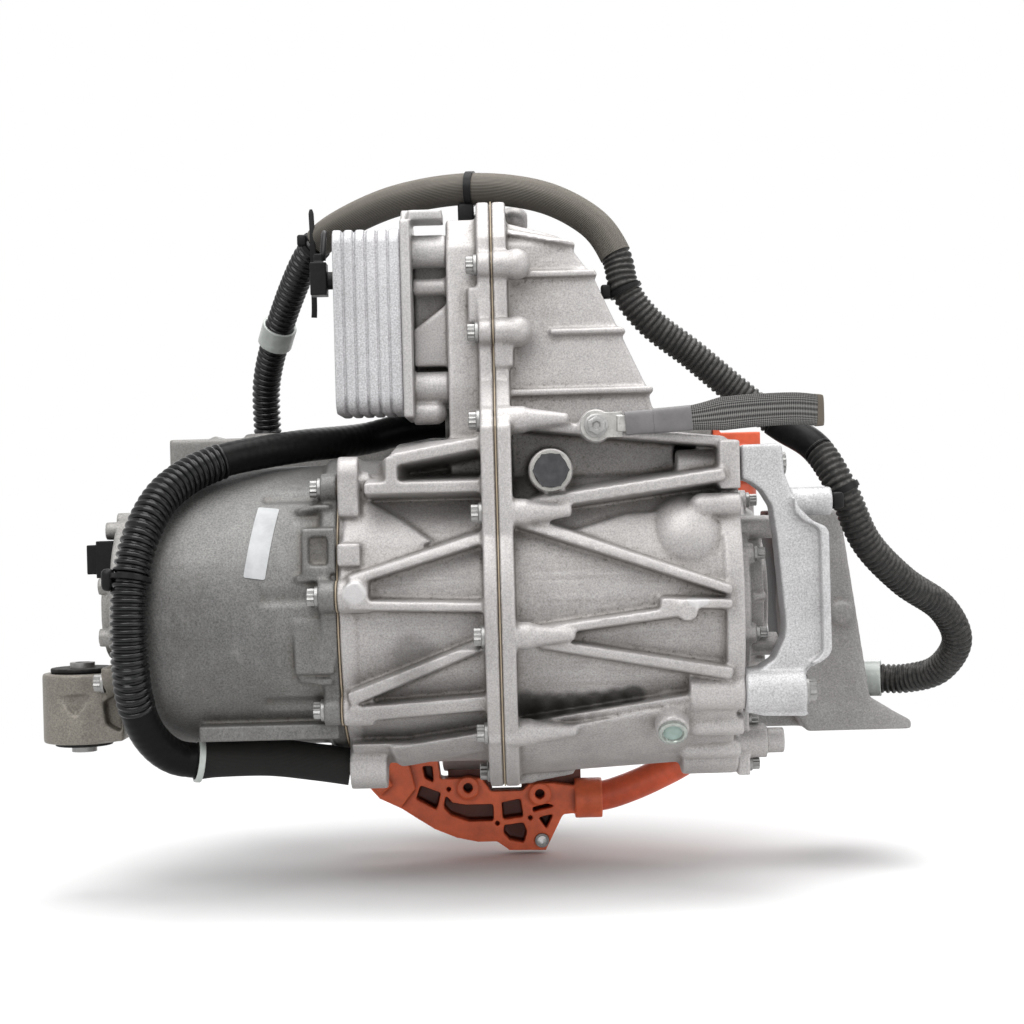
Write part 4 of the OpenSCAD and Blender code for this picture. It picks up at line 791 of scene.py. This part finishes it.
@dataclass
class ConduitRun:
    """A run of conduit between two places of a route."""

    name: str
    route: Route
    start: float
    end: float
    radius_mm: float
    cover: Cover
    paint: Paint
    slot: str
    nodes: tuple[str, ...] = ()
    sides: int = 40

    def build(self) -> Thing:
        """Models one cell of the cover, repeats it and bends it along the route."""
        path, length = self._path()
        cell_mm, shares = self.cover.value
        count = max(2, round(length / (cell_mm * MM)))
        piece = self._cell(length / count, shares)
        array = piece.modifiers.new("repeat", "ARRAY")
        array.use_relative_offset = False
        array.use_constant_offset = True
        array.constant_offset_displace = (length / count, 0.0, 0.0)
        array.count = count
        array.use_merge_vertices = True
        array.merge_threshold = 2e-5
        Bench.apply(piece)
        with Bench.edit(piece):
            for end in (0.0, length):
                Bench.pick(piece, "verts", lambda co, _: abs(co.x - end) < 1e-5)
                bpy.ops.mesh.edge_face_add()
            bpy.ops.mesh.select_all(action="SELECT")
            bpy.ops.mesh.normals_make_consistent(inside=False)
        bend = piece.modifiers.new("bend", "CURVE")
        bend.object = path
        bend.deform_axis = "POS_X"
        Bench.apply(piece)
        bpy.data.objects.remove(path)
        Bench.smooth(piece, 50.0)
        return dress(piece, self.paint, self.nodes)

    def _path(self) -> tuple[Thing, float]:
        """Draws the route's stretch as a curve.

        Returns:
            The curve and its length in metres.
        """
        steps = max(6, int((self.end - self.start) * 16))
        points = [route_point(self.route, self.start + (self.end - self.start) * i / steps) for i in range(steps + 1)]
        curve = bpy.data.curves.new(self.name + "_path", "CURVE")
        curve.dimensions = "3D"
        spline = curve.splines.new("POLY")
        spline.points.add(steps)
        for knot, point in zip(spline.points, points):
            knot.co = (*point, 1.0)
        path = Bench.add(self.name + "_path", curve)
        return path, sum((b - a).length for a, b in zip(points, points[1:]))

    def _cell(self, length: float, shares: Sequence[float]) -> Thing:
        """Models one cell of the cover along +X.

        Args:
            length: its length in metres.
            shares: the radius of each ring as a share of the run's radius.

        Returns:
            The cell.
        """
        cell = Bench.rod(self.sides, self.radius_mm * MM, 0.0, length, fill="NOTHING")
        cell.name = self.name
        rings = len(shares)
        with Bench.edit(cell, "EDGE"):
            Bench.pick(cell, "edges", lambda _, way: abs(way.x) > 0.9)
            bpy.ops.mesh.subdivide(number_cuts=rings - 1)
            for i in range(rings + 1):
                x = length * i / rings
                Bench.pick(cell, "verts", lambda co, _: abs(co.x - x) < length / rings / 4)
                share = shares[i % rings]
                bpy.ops.transform.resize(value=(1.0, share, share), center_override=(x, 0.0, 0.0))
        return cell


@dataclass
class Bolts:
    """A node of flange bolts, rebuilt with twelve-point heads."""

    node: str
    axis: int
    slot: str = "bolt_steel"
    paint: Paint = Paint.BOLT
    points: int = 12
    head_mm: float = 5.8
    skirt_mm: float = 2.2
    head_share: float = 0.80
    valley_share: float = 0.86
    shank_share: float = 0.45

    @property
    def cross(self) -> list[int]:
        """Gives the two axes across the bolts."""
        return [k for k in range(3) if k != self.axis]

    def build(self) -> Thing:
        """Finds each bolt of the node and puts a detailed one in its place."""
        groups: dict[tuple[int, int], list[Matrix]] = {}
        for low, high, sign in self._islands():
            size = high - low
            head = round(size[self.cross[0]] / (2 * MM), 1)
            middle = (low + high) / 2
            middle[self.axis] = low[self.axis] if sign < 0 else high[self.axis]
            way = Vector((0, 0, 0))
            way[self.axis] = sign
            turn = way.to_track_quat("X", "Z").to_matrix().to_4x4()
            groups.setdefault((head, round(size[self.axis] / MM)), []).append(Matrix.Translation(middle) @ turn)
        pieces = [
            Bench.stamp(self._bolt(head * MM, long * MM), places, f"{self.node}_{i}")
            for i, ((head, long), places) in enumerate(sorted(groups.items()))
        ]
        piece = Bench.join(pieces, self.node + "_detail")
        Bench.smooth(piece, 30.0)
        return dress(piece, self.paint, (self.node,))

    def _islands(self) -> list[tuple[Vector, Vector, int]]:
        """Gives each bolt's lowest and highest corner, and the side its head is on."""
        mesh = bmesh.new()
        mesh.from_mesh(frame["nodes"][self.node].data)
        bmesh.ops.remove_doubles(mesh, verts=mesh.verts, dist=1e-5)
        found, seen = [], set()
        for start in mesh.verts:
            if start in seen:
                continue
            group, todo = [], [start]
            seen.add(start)
            while todo:
                vert = todo.pop()
                group.append(vert.co.copy())
                for edge in vert.link_edges:
                    other = edge.other_vert(vert)
                    if other not in seen:
                        seen.add(other)
                        todo.append(other)
            place = np.array(group)
            low, high = Vector(place.min(0)), Vector(place.max(0))
            centre = (np.array(low) + np.array(high)) / 2
            away = np.linalg.norm((place - centre)[:, self.cross], axis=1)
            wide = place[away > away.max() - 1e-5][:, self.axis].mean()
            found.append((low, high, 1 if wide > centre[self.axis] else -1))
        mesh.free()
        return found

    def _bolt(self, flange: float, length: float) -> Thing:
        """Models one bolt whose head's face is at the origin and looks along +X.

        Args:
            flange: the radius of its flange in metres.
            length: its whole length in metres.

        Returns:
            The bolt.
        """
        under = -self.head_mm * MM
        seat = under - self.skirt_mm * MM
        head = Bench.rod(2 * self.points, flange * self.head_share, under, 0.0)
        with Bench.edit(head):
            step = math.pi / self.points
            Bench.pick(head, "verts", lambda co, _: round(math.atan2(co.z, co.y) / step) % 2 == 0)
            bpy.ops.transform.resize(value=(1.0, self.valley_share, self.valley_share), center_override=(0, 0, 0))
            bpy.ops.mesh.select_mode(type="FACE")
            Bench.pick(head, "faces", lambda _, n: n.x > 0.9)
            bpy.ops.mesh.inset(thickness=flange * 0.10, depth=0.0005)
            bpy.ops.mesh.inset(thickness=flange * 0.24, depth=0.0)
            bpy.ops.mesh.inset(thickness=flange * 0.12, depth=-0.0012)
        skirt = Bench.rod(28, flange, seat, under)
        with Bench.edit(skirt, "FACE"):
            Bench.pick(skirt, "faces", lambda _, n: n.x > 0.9)
            bpy.ops.mesh.inset(thickness=flange * 0.05, depth=0.0003)
            bpy.ops.mesh.inset(thickness=flange * 0.14, depth=0.0004)
        shank = Bench.rod(14, flange * self.shank_share, -length, seat)
        with Bench.edit(shank, "FACE"):
            Bench.pick(shank, "faces", lambda _, n: n.x < -0.9)
            bpy.ops.mesh.inset(thickness=flange * 0.08, depth=0.0006)
        return Bench.join([head, skirt, shank], "bolt")


@dataclass
class Sticker:
    """A blank sticker, wrapped round the motor can."""

    x_mm: float = -180.5
    turn_deg: float = 28.5
    long_mm: float = 62.0
    wide_mm: float = 16.5
    lean_deg: float = 8.5
    radius_mm: float = 112.55
    thick_mm: float = 0.25

    def build(self) -> Thing:
        """Models the sticker flat with round corners and wraps it."""
        Bench.clear()
        bpy.ops.mesh.primitive_plane_add(size=1.0)
        piece = bpy.context.object
        piece.name = "blank_sticker"
        piece.scale = (self.wide_mm, self.long_mm, 1.0)
        Bench.take(piece)
        bpy.ops.object.transform_apply(location=True, rotation=True, scale=True)
        with Bench.edit(piece):
            bpy.ops.mesh.select_all(action="SELECT")
            bpy.ops.mesh.bevel(offset=1.6, segments=4, affect="VERTICES")
            for i in range(1, 16):
                y = self.long_mm * (i / 16 - 0.5)
                bpy.ops.mesh.select_all(action="SELECT")
                bpy.ops.mesh.bisect(plane_co=(0, y, 0), plane_no=(0, 1, 0))
        lean = math.radians(self.lean_deg)
        for vert in piece.data.vertices:
            x = vert.co.x * math.cos(lean) + vert.co.y * math.sin(lean)
            arc = vert.co.y * math.cos(lean) - vert.co.x * math.sin(lean)
            angle = math.radians(self.turn_deg) + arc / self.radius_mm
            vert.co = here(self.x_mm + x, -self.radius_mm * math.cos(angle), self.radius_mm * math.sin(angle))
        thick = piece.modifiers.new("thick", "SOLIDIFY")
        thick.thickness = self.thick_mm * MM
        thick.offset = 0.0
        Bench.apply(piece)
        Bench.outward(piece)
        Bench.smooth(piece, 40.0)
        return dress(piece, Paint.STICKER)


@dataclass
class Harness:
    """The runs of the conduits, their sleeves and shrunk tube, and the sensor lead."""

    harness_r: float = 12.0
    motor_r: float = 14.0
    hv_r: float = 13.0

    def build(self) -> None:
        """Builds every run of the three conduits."""
        grey, black, orange = "grey_conduit", "black_conduit", "hv_orange"
        h, m = self.harness_r, self.motor_r
        runs = [
            ConduitRun("harness_lower", HARNESS_ROUTE, 0.0, 4.3, h, Cover.RIBBED, Paint.GLOSS_CONDUIT, grey,
                       ("harness_conduit",)),
            ConduitRun("harness_sleeve", HARNESS_ROUTE, 4.2, 10.0, h + 0.8, Cover.BRAIDED, Paint.SLEEVE, grey,
                       (), 40),
            ConduitRun("harness_right", HARNESS_ROUTE, 9.9, 15.0, h, Cover.FINE_RIBBED, Paint.GREY_CONDUIT, grey),
            ConduitRun("harness_shrink", HARNESS_ROUTE, 14.9, 16.1, h + 0.3, Cover.PLAIN, Paint.SMOOTH_TUBE, grey),
            ConduitRun("harness_loop", HARNESS_ROUTE, 16.0, 25.0, h, Cover.FINE_RIBBED, Paint.GREY_CONDUIT, grey),
            ConduitRun("motor_tube_upper", MOTOR_ROUTE, 0.0, 4.75, m - 0.8, Cover.CREASED, Paint.SMOOTH_TUBE, black,
                       ("motor_conduit",)),
            ConduitRun("motor_ribbed", MOTOR_ROUTE, 4.6, 12.2, m, Cover.RIBBED, Paint.GLOSS_CONDUIT, black),
            ConduitRun("motor_elbow", MOTOR_ROUTE, 12.1, 15.1, m - 0.3, Cover.CREASED, Paint.SMOOTH_TUBE, black),
            ConduitRun("motor_sleeve", SLEEVE_ROUTE, 0.0, 4.0, m + 0.6, Cover.BRAIDED, Paint.DARK_SLEEVE, black,
                       (), 40),
            ConduitRun("hv_tube_detail", HV_ROUTE, 0.0, 10.0, self.hv_r, Cover.PLAIN, Paint.ORANGE, orange,
                       ("hv_tube",)),
            ConduitRun("sensor_lead", LEAD_ROUTE, 0.0, 4.0, 2.3, Cover.PLAIN, Paint.BLACK, "black_plastic", (), 14),
        ]
        for run in runs:
            run.build()


@dataclass
class Band:
    """A band of changing section, swept along a route."""

    name: str
    route: Route
    start: float
    end: float
    stops: tuple[Point, ...]
    paint: Paint
    slot: str
    nodes: tuple[str, ...] = ()
    wide_way: Point = (0.0, 0.0, 1.0)
    square: float = 3.5
    sides: int = 28

    def build(self) -> Thing:
        """Sweeps the section and maps the band along and around."""
        rows = max(8, round((self.end - self.start) * 14))
        shares = np.linspace(0.0, 1.0, rows + 1)
        points = [route_point(self.route, self.start + (self.end - self.start) * s) for s in shares]
        at, wide, deep = zip(*self.stops)
        rings = [
            self._ring(points, i, np.interp(s, at, wide) / 2 * MM, np.interp(s, at, deep) / 2 * MM)
            for i, s in enumerate(shares)
        ]
        n = self.sides
        quads = [(i * n + k, i * n + (k + 1) % n, (i + 1) * n + (k + 1) % n, (i + 1) * n + k)
                 for i in range(rows) for k in range(n)]
        caps = [tuple(range(n - 1, -1, -1)), tuple(rows * n + k for k in range(n))]
        mesh = bpy.data.meshes.new(self.name)
        mesh.from_pydata([v for ring in rings for v in ring], [], quads + caps)
        piece = Bench.add(self.name, mesh)
        self._map(mesh, points, rows)
        Bench.outward(piece)
        Bench.smooth(piece, 60.0)
        return dress(piece, self.paint, self.nodes)

    def _ring(self, points: Sequence[Vector], i: int, wide: float, deep: float) -> list[Vector]:
        """Gives the rounded section at one point of the path.

        Args:
            points: the path.
            i: the number of the point.
            wide: half of the width in metres.
            deep: half of the depth in metres.

        Returns:
            The corners of the section.
        """
        along = (points[min(i + 1, len(points) - 1)] - points[max(i - 1, 0)]).normalized()
        side = Vector(self.wide_way)
        side = (side - along * side.dot(along)).normalized()
        out = along.cross(side)
        ring = []
        for k in range(self.sides):
            turn = 2 * math.pi * k / self.sides
            c, s = (math.copysign(abs(f) ** (2 / self.square), f) for f in (math.cos(turn), math.sin(turn)))
            ring.append(points[i] + side * c * wide + out * s * deep)
        return ring

    def _map(self, mesh: bpy.types.Mesh, points: Sequence[Vector], rows: int) -> None:
        """Maps each face by its share around and its way along in centimetres."""
        way = np.cumsum([0.0] + [(b - a).length * 100 for a, b in zip(points, points[1:])])
        layer = mesh.uv_layers.new(name="weave")
        for face in mesh.polygons[:rows * self.sides]:
            k = face.index % self.sides
            for loop in face.loop_indices:
                row, corner = divmod(mesh.loops[loop].vertex_index, self.sides)
                layer.data[loop].uv = ((self.sides if k == self.sides - 1 and corner == 0 else corner) / self.sides,
                                       way[row])


@dataclass
class Block:
    """A box with rounded edges."""

    name: str
    middle_mm: Point
    size_mm: Point
    edge_mm: float
    paint: Paint
    slot: str

    def build(self) -> Thing:
        """Models the box and rounds its edges."""
        Bench.clear()
        bpy.ops.mesh.primitive_cube_add(size=1.0, location=here(*self.middle_mm))
        piece = bpy.context.object
        piece.name = self.name
        piece.scale = Vector(self.size_mm) * MM
        bpy.context.view_layer.update()
        Bench.settle(piece)
        with Bench.edit(piece):
            bpy.ops.mesh.select_all(action="SELECT")
            bpy.ops.mesh.bevel(offset=self.edge_mm * MM, segments=3, affect="EDGES")
        Bench.smooth(piece, 40.0)
        return dress(piece, self.paint)


@dataclass
class Strap:
    """The earth strap: two lengths of shrunk tube, a woven band and its folded end."""

    slot: str = "strap"

    def build(self) -> None:
        """Builds the strap from the lug to the fold."""
        flare = ((0.0, 18.5, 8.6), (0.05, 20.0, 8.2), (0.22, 25.5, 4.4), (1.0, 24.5, 4.0))
        for band in (
            Band("strap_tube", STRAP_ROUTE, 0.0, 0.52, ((0.0, 18.2, 8.4), (1.0, 18.0, 8.2)), Paint.SHRINK, self.slot),
            Band("strap_tube_outer", STRAP_ROUTE, 0.48, 1.02, ((0.0, 19.0, 9.2), (1.0, 19.4, 9.4)), Paint.SHRINK,
                 self.slot),
            Band("strap_band", STRAP_ROUTE, 0.98, 5.0, flare, Paint.STRAP, self.slot, ("ground_strap",)),
            Band("strap_fold", FOLD_ROUTE, 0.0, 3.0, ((0.0, 25.0, 3.0), (1.0, 22.0, 2.4)), Paint.FRAY, self.slot),
        ):
            band.build()


@dataclass
class CableTie:
    """The cable tie on the harness with its head and long free tail."""

    head_mm: Point = (-158.0, 47.0, 301.0)
    size_mm: Point = (8.0, 9.0, 9.5)

    def build(self) -> None:
        """Builds the head and the tail."""
        Block("tie_head", self.head_mm, self.size_mm, 1.8, Paint.BLACK, "black_plastic").build()
        Band("tie_tail", TAIL_ROUTE, 0.0, 4.0, ((0.0, 2.2, 1.2), (0.05, 4.4, 1.5), (1.0, 4.8, 1.6)), Paint.BLACK,
             "black_plastic", wide_way=(1.0, 0.0, 0.0)).build()


@dataclass
class Clips:
    """The slim bands that hold the conduits, and the feet that they stand on."""

    slot: str = "black_plastic"
    half: float = 0.05
    over_mm: float = 1.5
    feet_mm: tuple[tuple[Point, Point, float], ...] = (
        ((-20.0, 0.0, 312.0), (13.0, 13.0, 17.6), 2.0),
        ((90.5, -25.0, 244.0), (8.4, 11.0, 11.0), 2.0),
        ((261.0, -77.0, 73.0), (9.4, 20.0, 13.0), 2.5),
        ((-293.0, -122.0, 27.5), (10.0, 9.0, 17.0), 4.0),
    )

    def build(self) -> None:
        """Builds the bands along the routes, then the feet."""
        nodes = ("conduit_clips",)
        for route, place, radius in (
            (HARNESS_ROUTE, 4, 12.0), (HARNESS_ROUTE, 7, 12.8), (HARNESS_ROUTE, 11, 12.4), (HARNESS_ROUTE, 17, 12.4),
            (MOTOR_ROUTE, 9, 14.3),
        ):
            ConduitRun(f"clip_band_{place}", route, place - self.half, place + self.half, radius + self.over_mm,
                       Cover.PLAIN, Paint.BLACK, self.slot, nodes).build()
            nodes = ()
        for i, (middle, size, edge) in enumerate(self.feet_mm):
            Block(f"clip_foot_{i}", middle, size, edge, Paint.BLACK, self.slot).build()


@dataclass
class SightGlass:
    """The oil sight glass: a bright rim around a domed, greenish pane."""

    middle_mm: Point = (128.0, -100.0, -90.0)
    tilt_deg: float = 38.0
    rim_mm: float = 11.0
    pane_mm: float = 7.6
    face_mm: float = 16.0
    thick_mm: float = 3.0
    stem_mm: float = 6.0
    stem_long_mm: float = 21.0

    def build(self) -> None:
        """Models the rim, its stem and the pane along Z and tilts them into place."""
        tilt = math.radians(self.tilt_deg)
        way = Vector((0.0, -math.cos(tilt), -math.sin(tilt)))
        place = Matrix.Translation(here(*self.middle_mm)) @ way.to_track_quat("Z", "Y").to_matrix().to_4x4()
        face, thick = self.face_mm * MM, self.thick_mm * MM
        rim = Bench.rod(48, self.rim_mm * MM, face - thick, face, "Z")
        with Bench.edit(rim, "FACE"):
            Bench.pick(rim, "faces", lambda _, n: n.z > 0.9)
            bpy.ops.mesh.inset(thickness=0.0008, depth=0.0005)
            bpy.ops.mesh.inset(thickness=0.0018, depth=0.0)
            bpy.ops.mesh.inset(thickness=0.0007, depth=-0.0016)
        stem = Bench.rod(24, self.stem_mm * MM, face - thick - self.stem_long_mm * MM, face - thick, "Z")
        rim = Bench.join([rim, stem], "sight_rim")
        Bench.clear()
        bpy.ops.mesh.primitive_uv_sphere_add(segments=40, ring_count=20, radius=self.pane_mm * MM,
                                             location=(0, 0, face - 0.0016))
        pane = bpy.context.object
        pane.name = "sight_pane"
        pane.scale = (1.0, 1.0, 0.24)
        bpy.context.view_layer.update()
        Bench.settle(pane)
        for piece, paint, nodes in ((rim, Paint.LEVEL, ("level_plug",)), (pane, Paint.PANE, ())):
            piece.data.transform(place)
            Bench.smooth(piece, 35.0)
            dress(piece, paint, nodes)


@dataclass
class Studio:
    """Floor, light and camera."""

    lens_mm: float = 70.31
    roll_deg: float = 1.49
    stand: Point = (11.0, -1620.0, 70.5)
    around: float = 0.42
    fade_from: float = 0.45
    fade_over: float = 0.8
    lamps: tuple[tuple[str, Point, float, float], ...] = (
        ("key", (-0.9, -1.9, 1.9), 1.5, 34.0), ("fill", (1.6, -1.7, 0.7), 1.6, 13.0),
        ("top", (0.1, -0.3, 2.3), 1.8, 54.0), ("back", (0.3, 2.0, 1.3), 1.6, 15.0),
    )

    def build(self) -> None:
        """Sets the stage."""
        self._camera()
        self._floor()
        self._world()
        for lamp in self.lamps:
            self._lamp(*lamp)
        bpy.context.scene.view_settings.view_transform = "Standard"

    def _camera(self) -> None:
        """Puts the camera at the photograph's place."""
        data = bpy.data.cameras.new("camera")
        data.lens = self.lens_mm
        data.sensor_width = 36.0
        data.clip_end = 50.0
        camera = Bench.add("camera", data)
        camera.location = here(*self.stand)
        camera.rotation_euler = (math.pi / 2, math.radians(self.roll_deg), 0.0)
        bpy.context.scene.camera = camera

    def _lamp(self, name: str, place: Point, size: float, watts: float) -> None:
        """Hangs one soft square lamp that looks at the unit.

        Args:
            name: the lamp's name.
            place: where it hangs, in metres.
            size: its side in metres.
            watts: its power.
        """
        data = bpy.data.lights.new(name, "AREA")
        data.size = size
        data.energy = watts
        lamp = Bench.add(name, data)
        lamp.location = place
        lamp.rotation_euler = (Vector((-0.1, -0.1, 0.1)) - Vector(place)).to_track_quat("-Z", "Y").to_euler()

    def _floor(self) -> None:
        """Lays a pale floor that fades out far from the unit."""
        Bench.clear()
        bpy.ops.mesh.primitive_circle_add(vertices=96, radius=5.0, fill_type="NGON",
                                          location=(-0.1, 0.0, CAD_BOX[0][2] - 0.004))
        floor = bpy.context.object
        floor.name = "floor"
        Bench.settle(floor)
        g = Graph("pale_floor")
        g.set(base_color=(0.9, 0.9, 0.9), roughness=0.9)
        fade = g.part(g.minus(g.distance(Vector()), self.fade_from), self.fade_over, True)
        clear = g.nodes.new("ShaderNodeBsdfTransparent")
        blend = g.nodes.new("ShaderNodeMixShader")
        g.links.new(fade, blend.inputs[0])
        g.links.new(g.shader.outputs[0], blend.inputs[1])
        g.links.new(clear.outputs[0], blend.inputs[2])
        g.links.new(blend.outputs[0], g.nodes["Material Output"].inputs["Surface"])
        floor.data.materials.append(g.material)

    def _world(self) -> None:
        """Makes the background white and the light around even."""
        world = bpy.data.worlds.new("studio")
        world.use_nodes = True
        nodes, links = world.node_tree.nodes, world.node_tree.links
        back = nodes["Background"]
        back.inputs["Color"].default_value = (1.0, 1.0, 1.0, 1.0)
        rays = nodes.new("ShaderNodeLightPath")
        strength = nodes.new("ShaderNodeMapRange")
        strength.inputs["To Min"].default_value = self.around
        strength.inputs["To Max"].default_value = 1.0
        seen = rays.outputs["Is Camera Ray"]
        for kind in ("Is Glossy Ray", "Is Transmission Ray"):
            either = nodes.new("ShaderNodeMath")
            either.operation = "MAXIMUM"
            links.new(seen, either.inputs[0])
            links.new(rays.outputs[kind], either.inputs[1])
            seen = either.outputs[0]
        links.new(seen, strength.inputs["Value"])
        links.new(strength.outputs[0], back.inputs["Strength"])
        bpy.context.scene.world = world


def paint_cad() -> None:
    """Gives every CAD node the finish of its slot."""
    slots = {part["node"]: part.get("material_slot") for part in frame["record"]["subparts"]}
    for name, node in frame["nodes"].items():
        finish = SLOT_PAINT[slots[name]].material()
        if not node.data.materials:
            node.data.materials.append(finish)
        for index in range(len(node.data.materials)):
            node.data.materials[index] = finish


def main() -> None:
    """Builds the stage, the castings, the fasteners and the harness in order."""
    logging.basicConfig(level=logging.INFO, format="%(message)s")
    Studio().build()
    paint_cad()
    for casting in (
        Casting("gearcase_left", Paint.CASE, "cast_case"),
        Casting("gearcase_right", Paint.CASE, "cast_case"),
        Casting("motor_housing", Paint.MOTOR, "cast_motor", 1.6),
        Casting("motor_end_cover", Paint.END, "cast_case"),
        Casting("input_cover", Paint.CASE, "cast_case", 1.1, 4),
        Casting("mount_bracket", Paint.BRACKET, "cast_bracket", 1.2, 8),
        Casting("mount_arm", Paint.ARM, "cast_case", 1.2, 10),
        Casting("terminal_hood", Paint.HOOD, "cast_case", 1.4, 8, 90000),
        Casting("gallery_cap", Paint.CASE, "cast_case", 0.8, 5),
        Casting("cooler_flange", Paint.COOLER, "cooler", 1.2, 4),
        Casting("cooler_stack", Paint.PLATES, "cooler", 0.8, 12, 120000),
        Casting("inverter_housing", Paint.INVERTER, "cast_inverter", 1.8, 4, 120000),
        Casting("inverter_cover", Paint.INVERTER, "cast_inverter", 1.6, 3, 90000),
        Casting("hv_duct", Paint.DUCT, "hv_orange", 1.0, 3, 120000),
        Casting("hv_connector", Paint.ORANGE, "hv_orange", 0.9, 3, 60000),
        Casting("resolver_connector", Paint.BLACK, "black_plastic", 0.6, 3, 30000),
        Casting("cooler_sensor", Paint.BLACK, "black_plastic", 0.6, 3, 30000),
        Casting("conduit_collars", Paint.COLLAR, "collar", 0.6, 2, 60000),
        Casting("ground_lug", Paint.LUG, "cooler", 0.5, 2, 30000),
        Casting("bush_rubber", Paint.RUBBER, "rubber", 0.9, 3, 40000),
    ):
        casting.build()
    for bolts in (
        Bolts("case_bolts", 0), Bolts("motor_bolts", 0), Bolts("cover_bolts", 0), Bolts("bracket_bolts", 0),
        Bolts("arm_bolts", 0), Bolts("cooler_bolts", 0), Bolts("inverter_bolts", 2),
        Bolts("ground_bolt", 1, points=6),
    ):
        bolts.build()
    Harness().build()
    Strap().build()
    CableTie().build()
    Clips().build()
    # The webs lie inside the duct's band of painted shade, so they render near black.
    for i, (x0, x1) in enumerate(DUCT_WEBS_MM):
        Block(f"duct_web_{i}", ((x0 + x1) / 2, 160.0, -169.0), (x1 - x0, 4.0, 34.0), 1.0, Paint.DUCT,
              "hv_orange").build()
    SightGlass().build()
    Sticker().build()


if __name__ == "__main__":
    main()
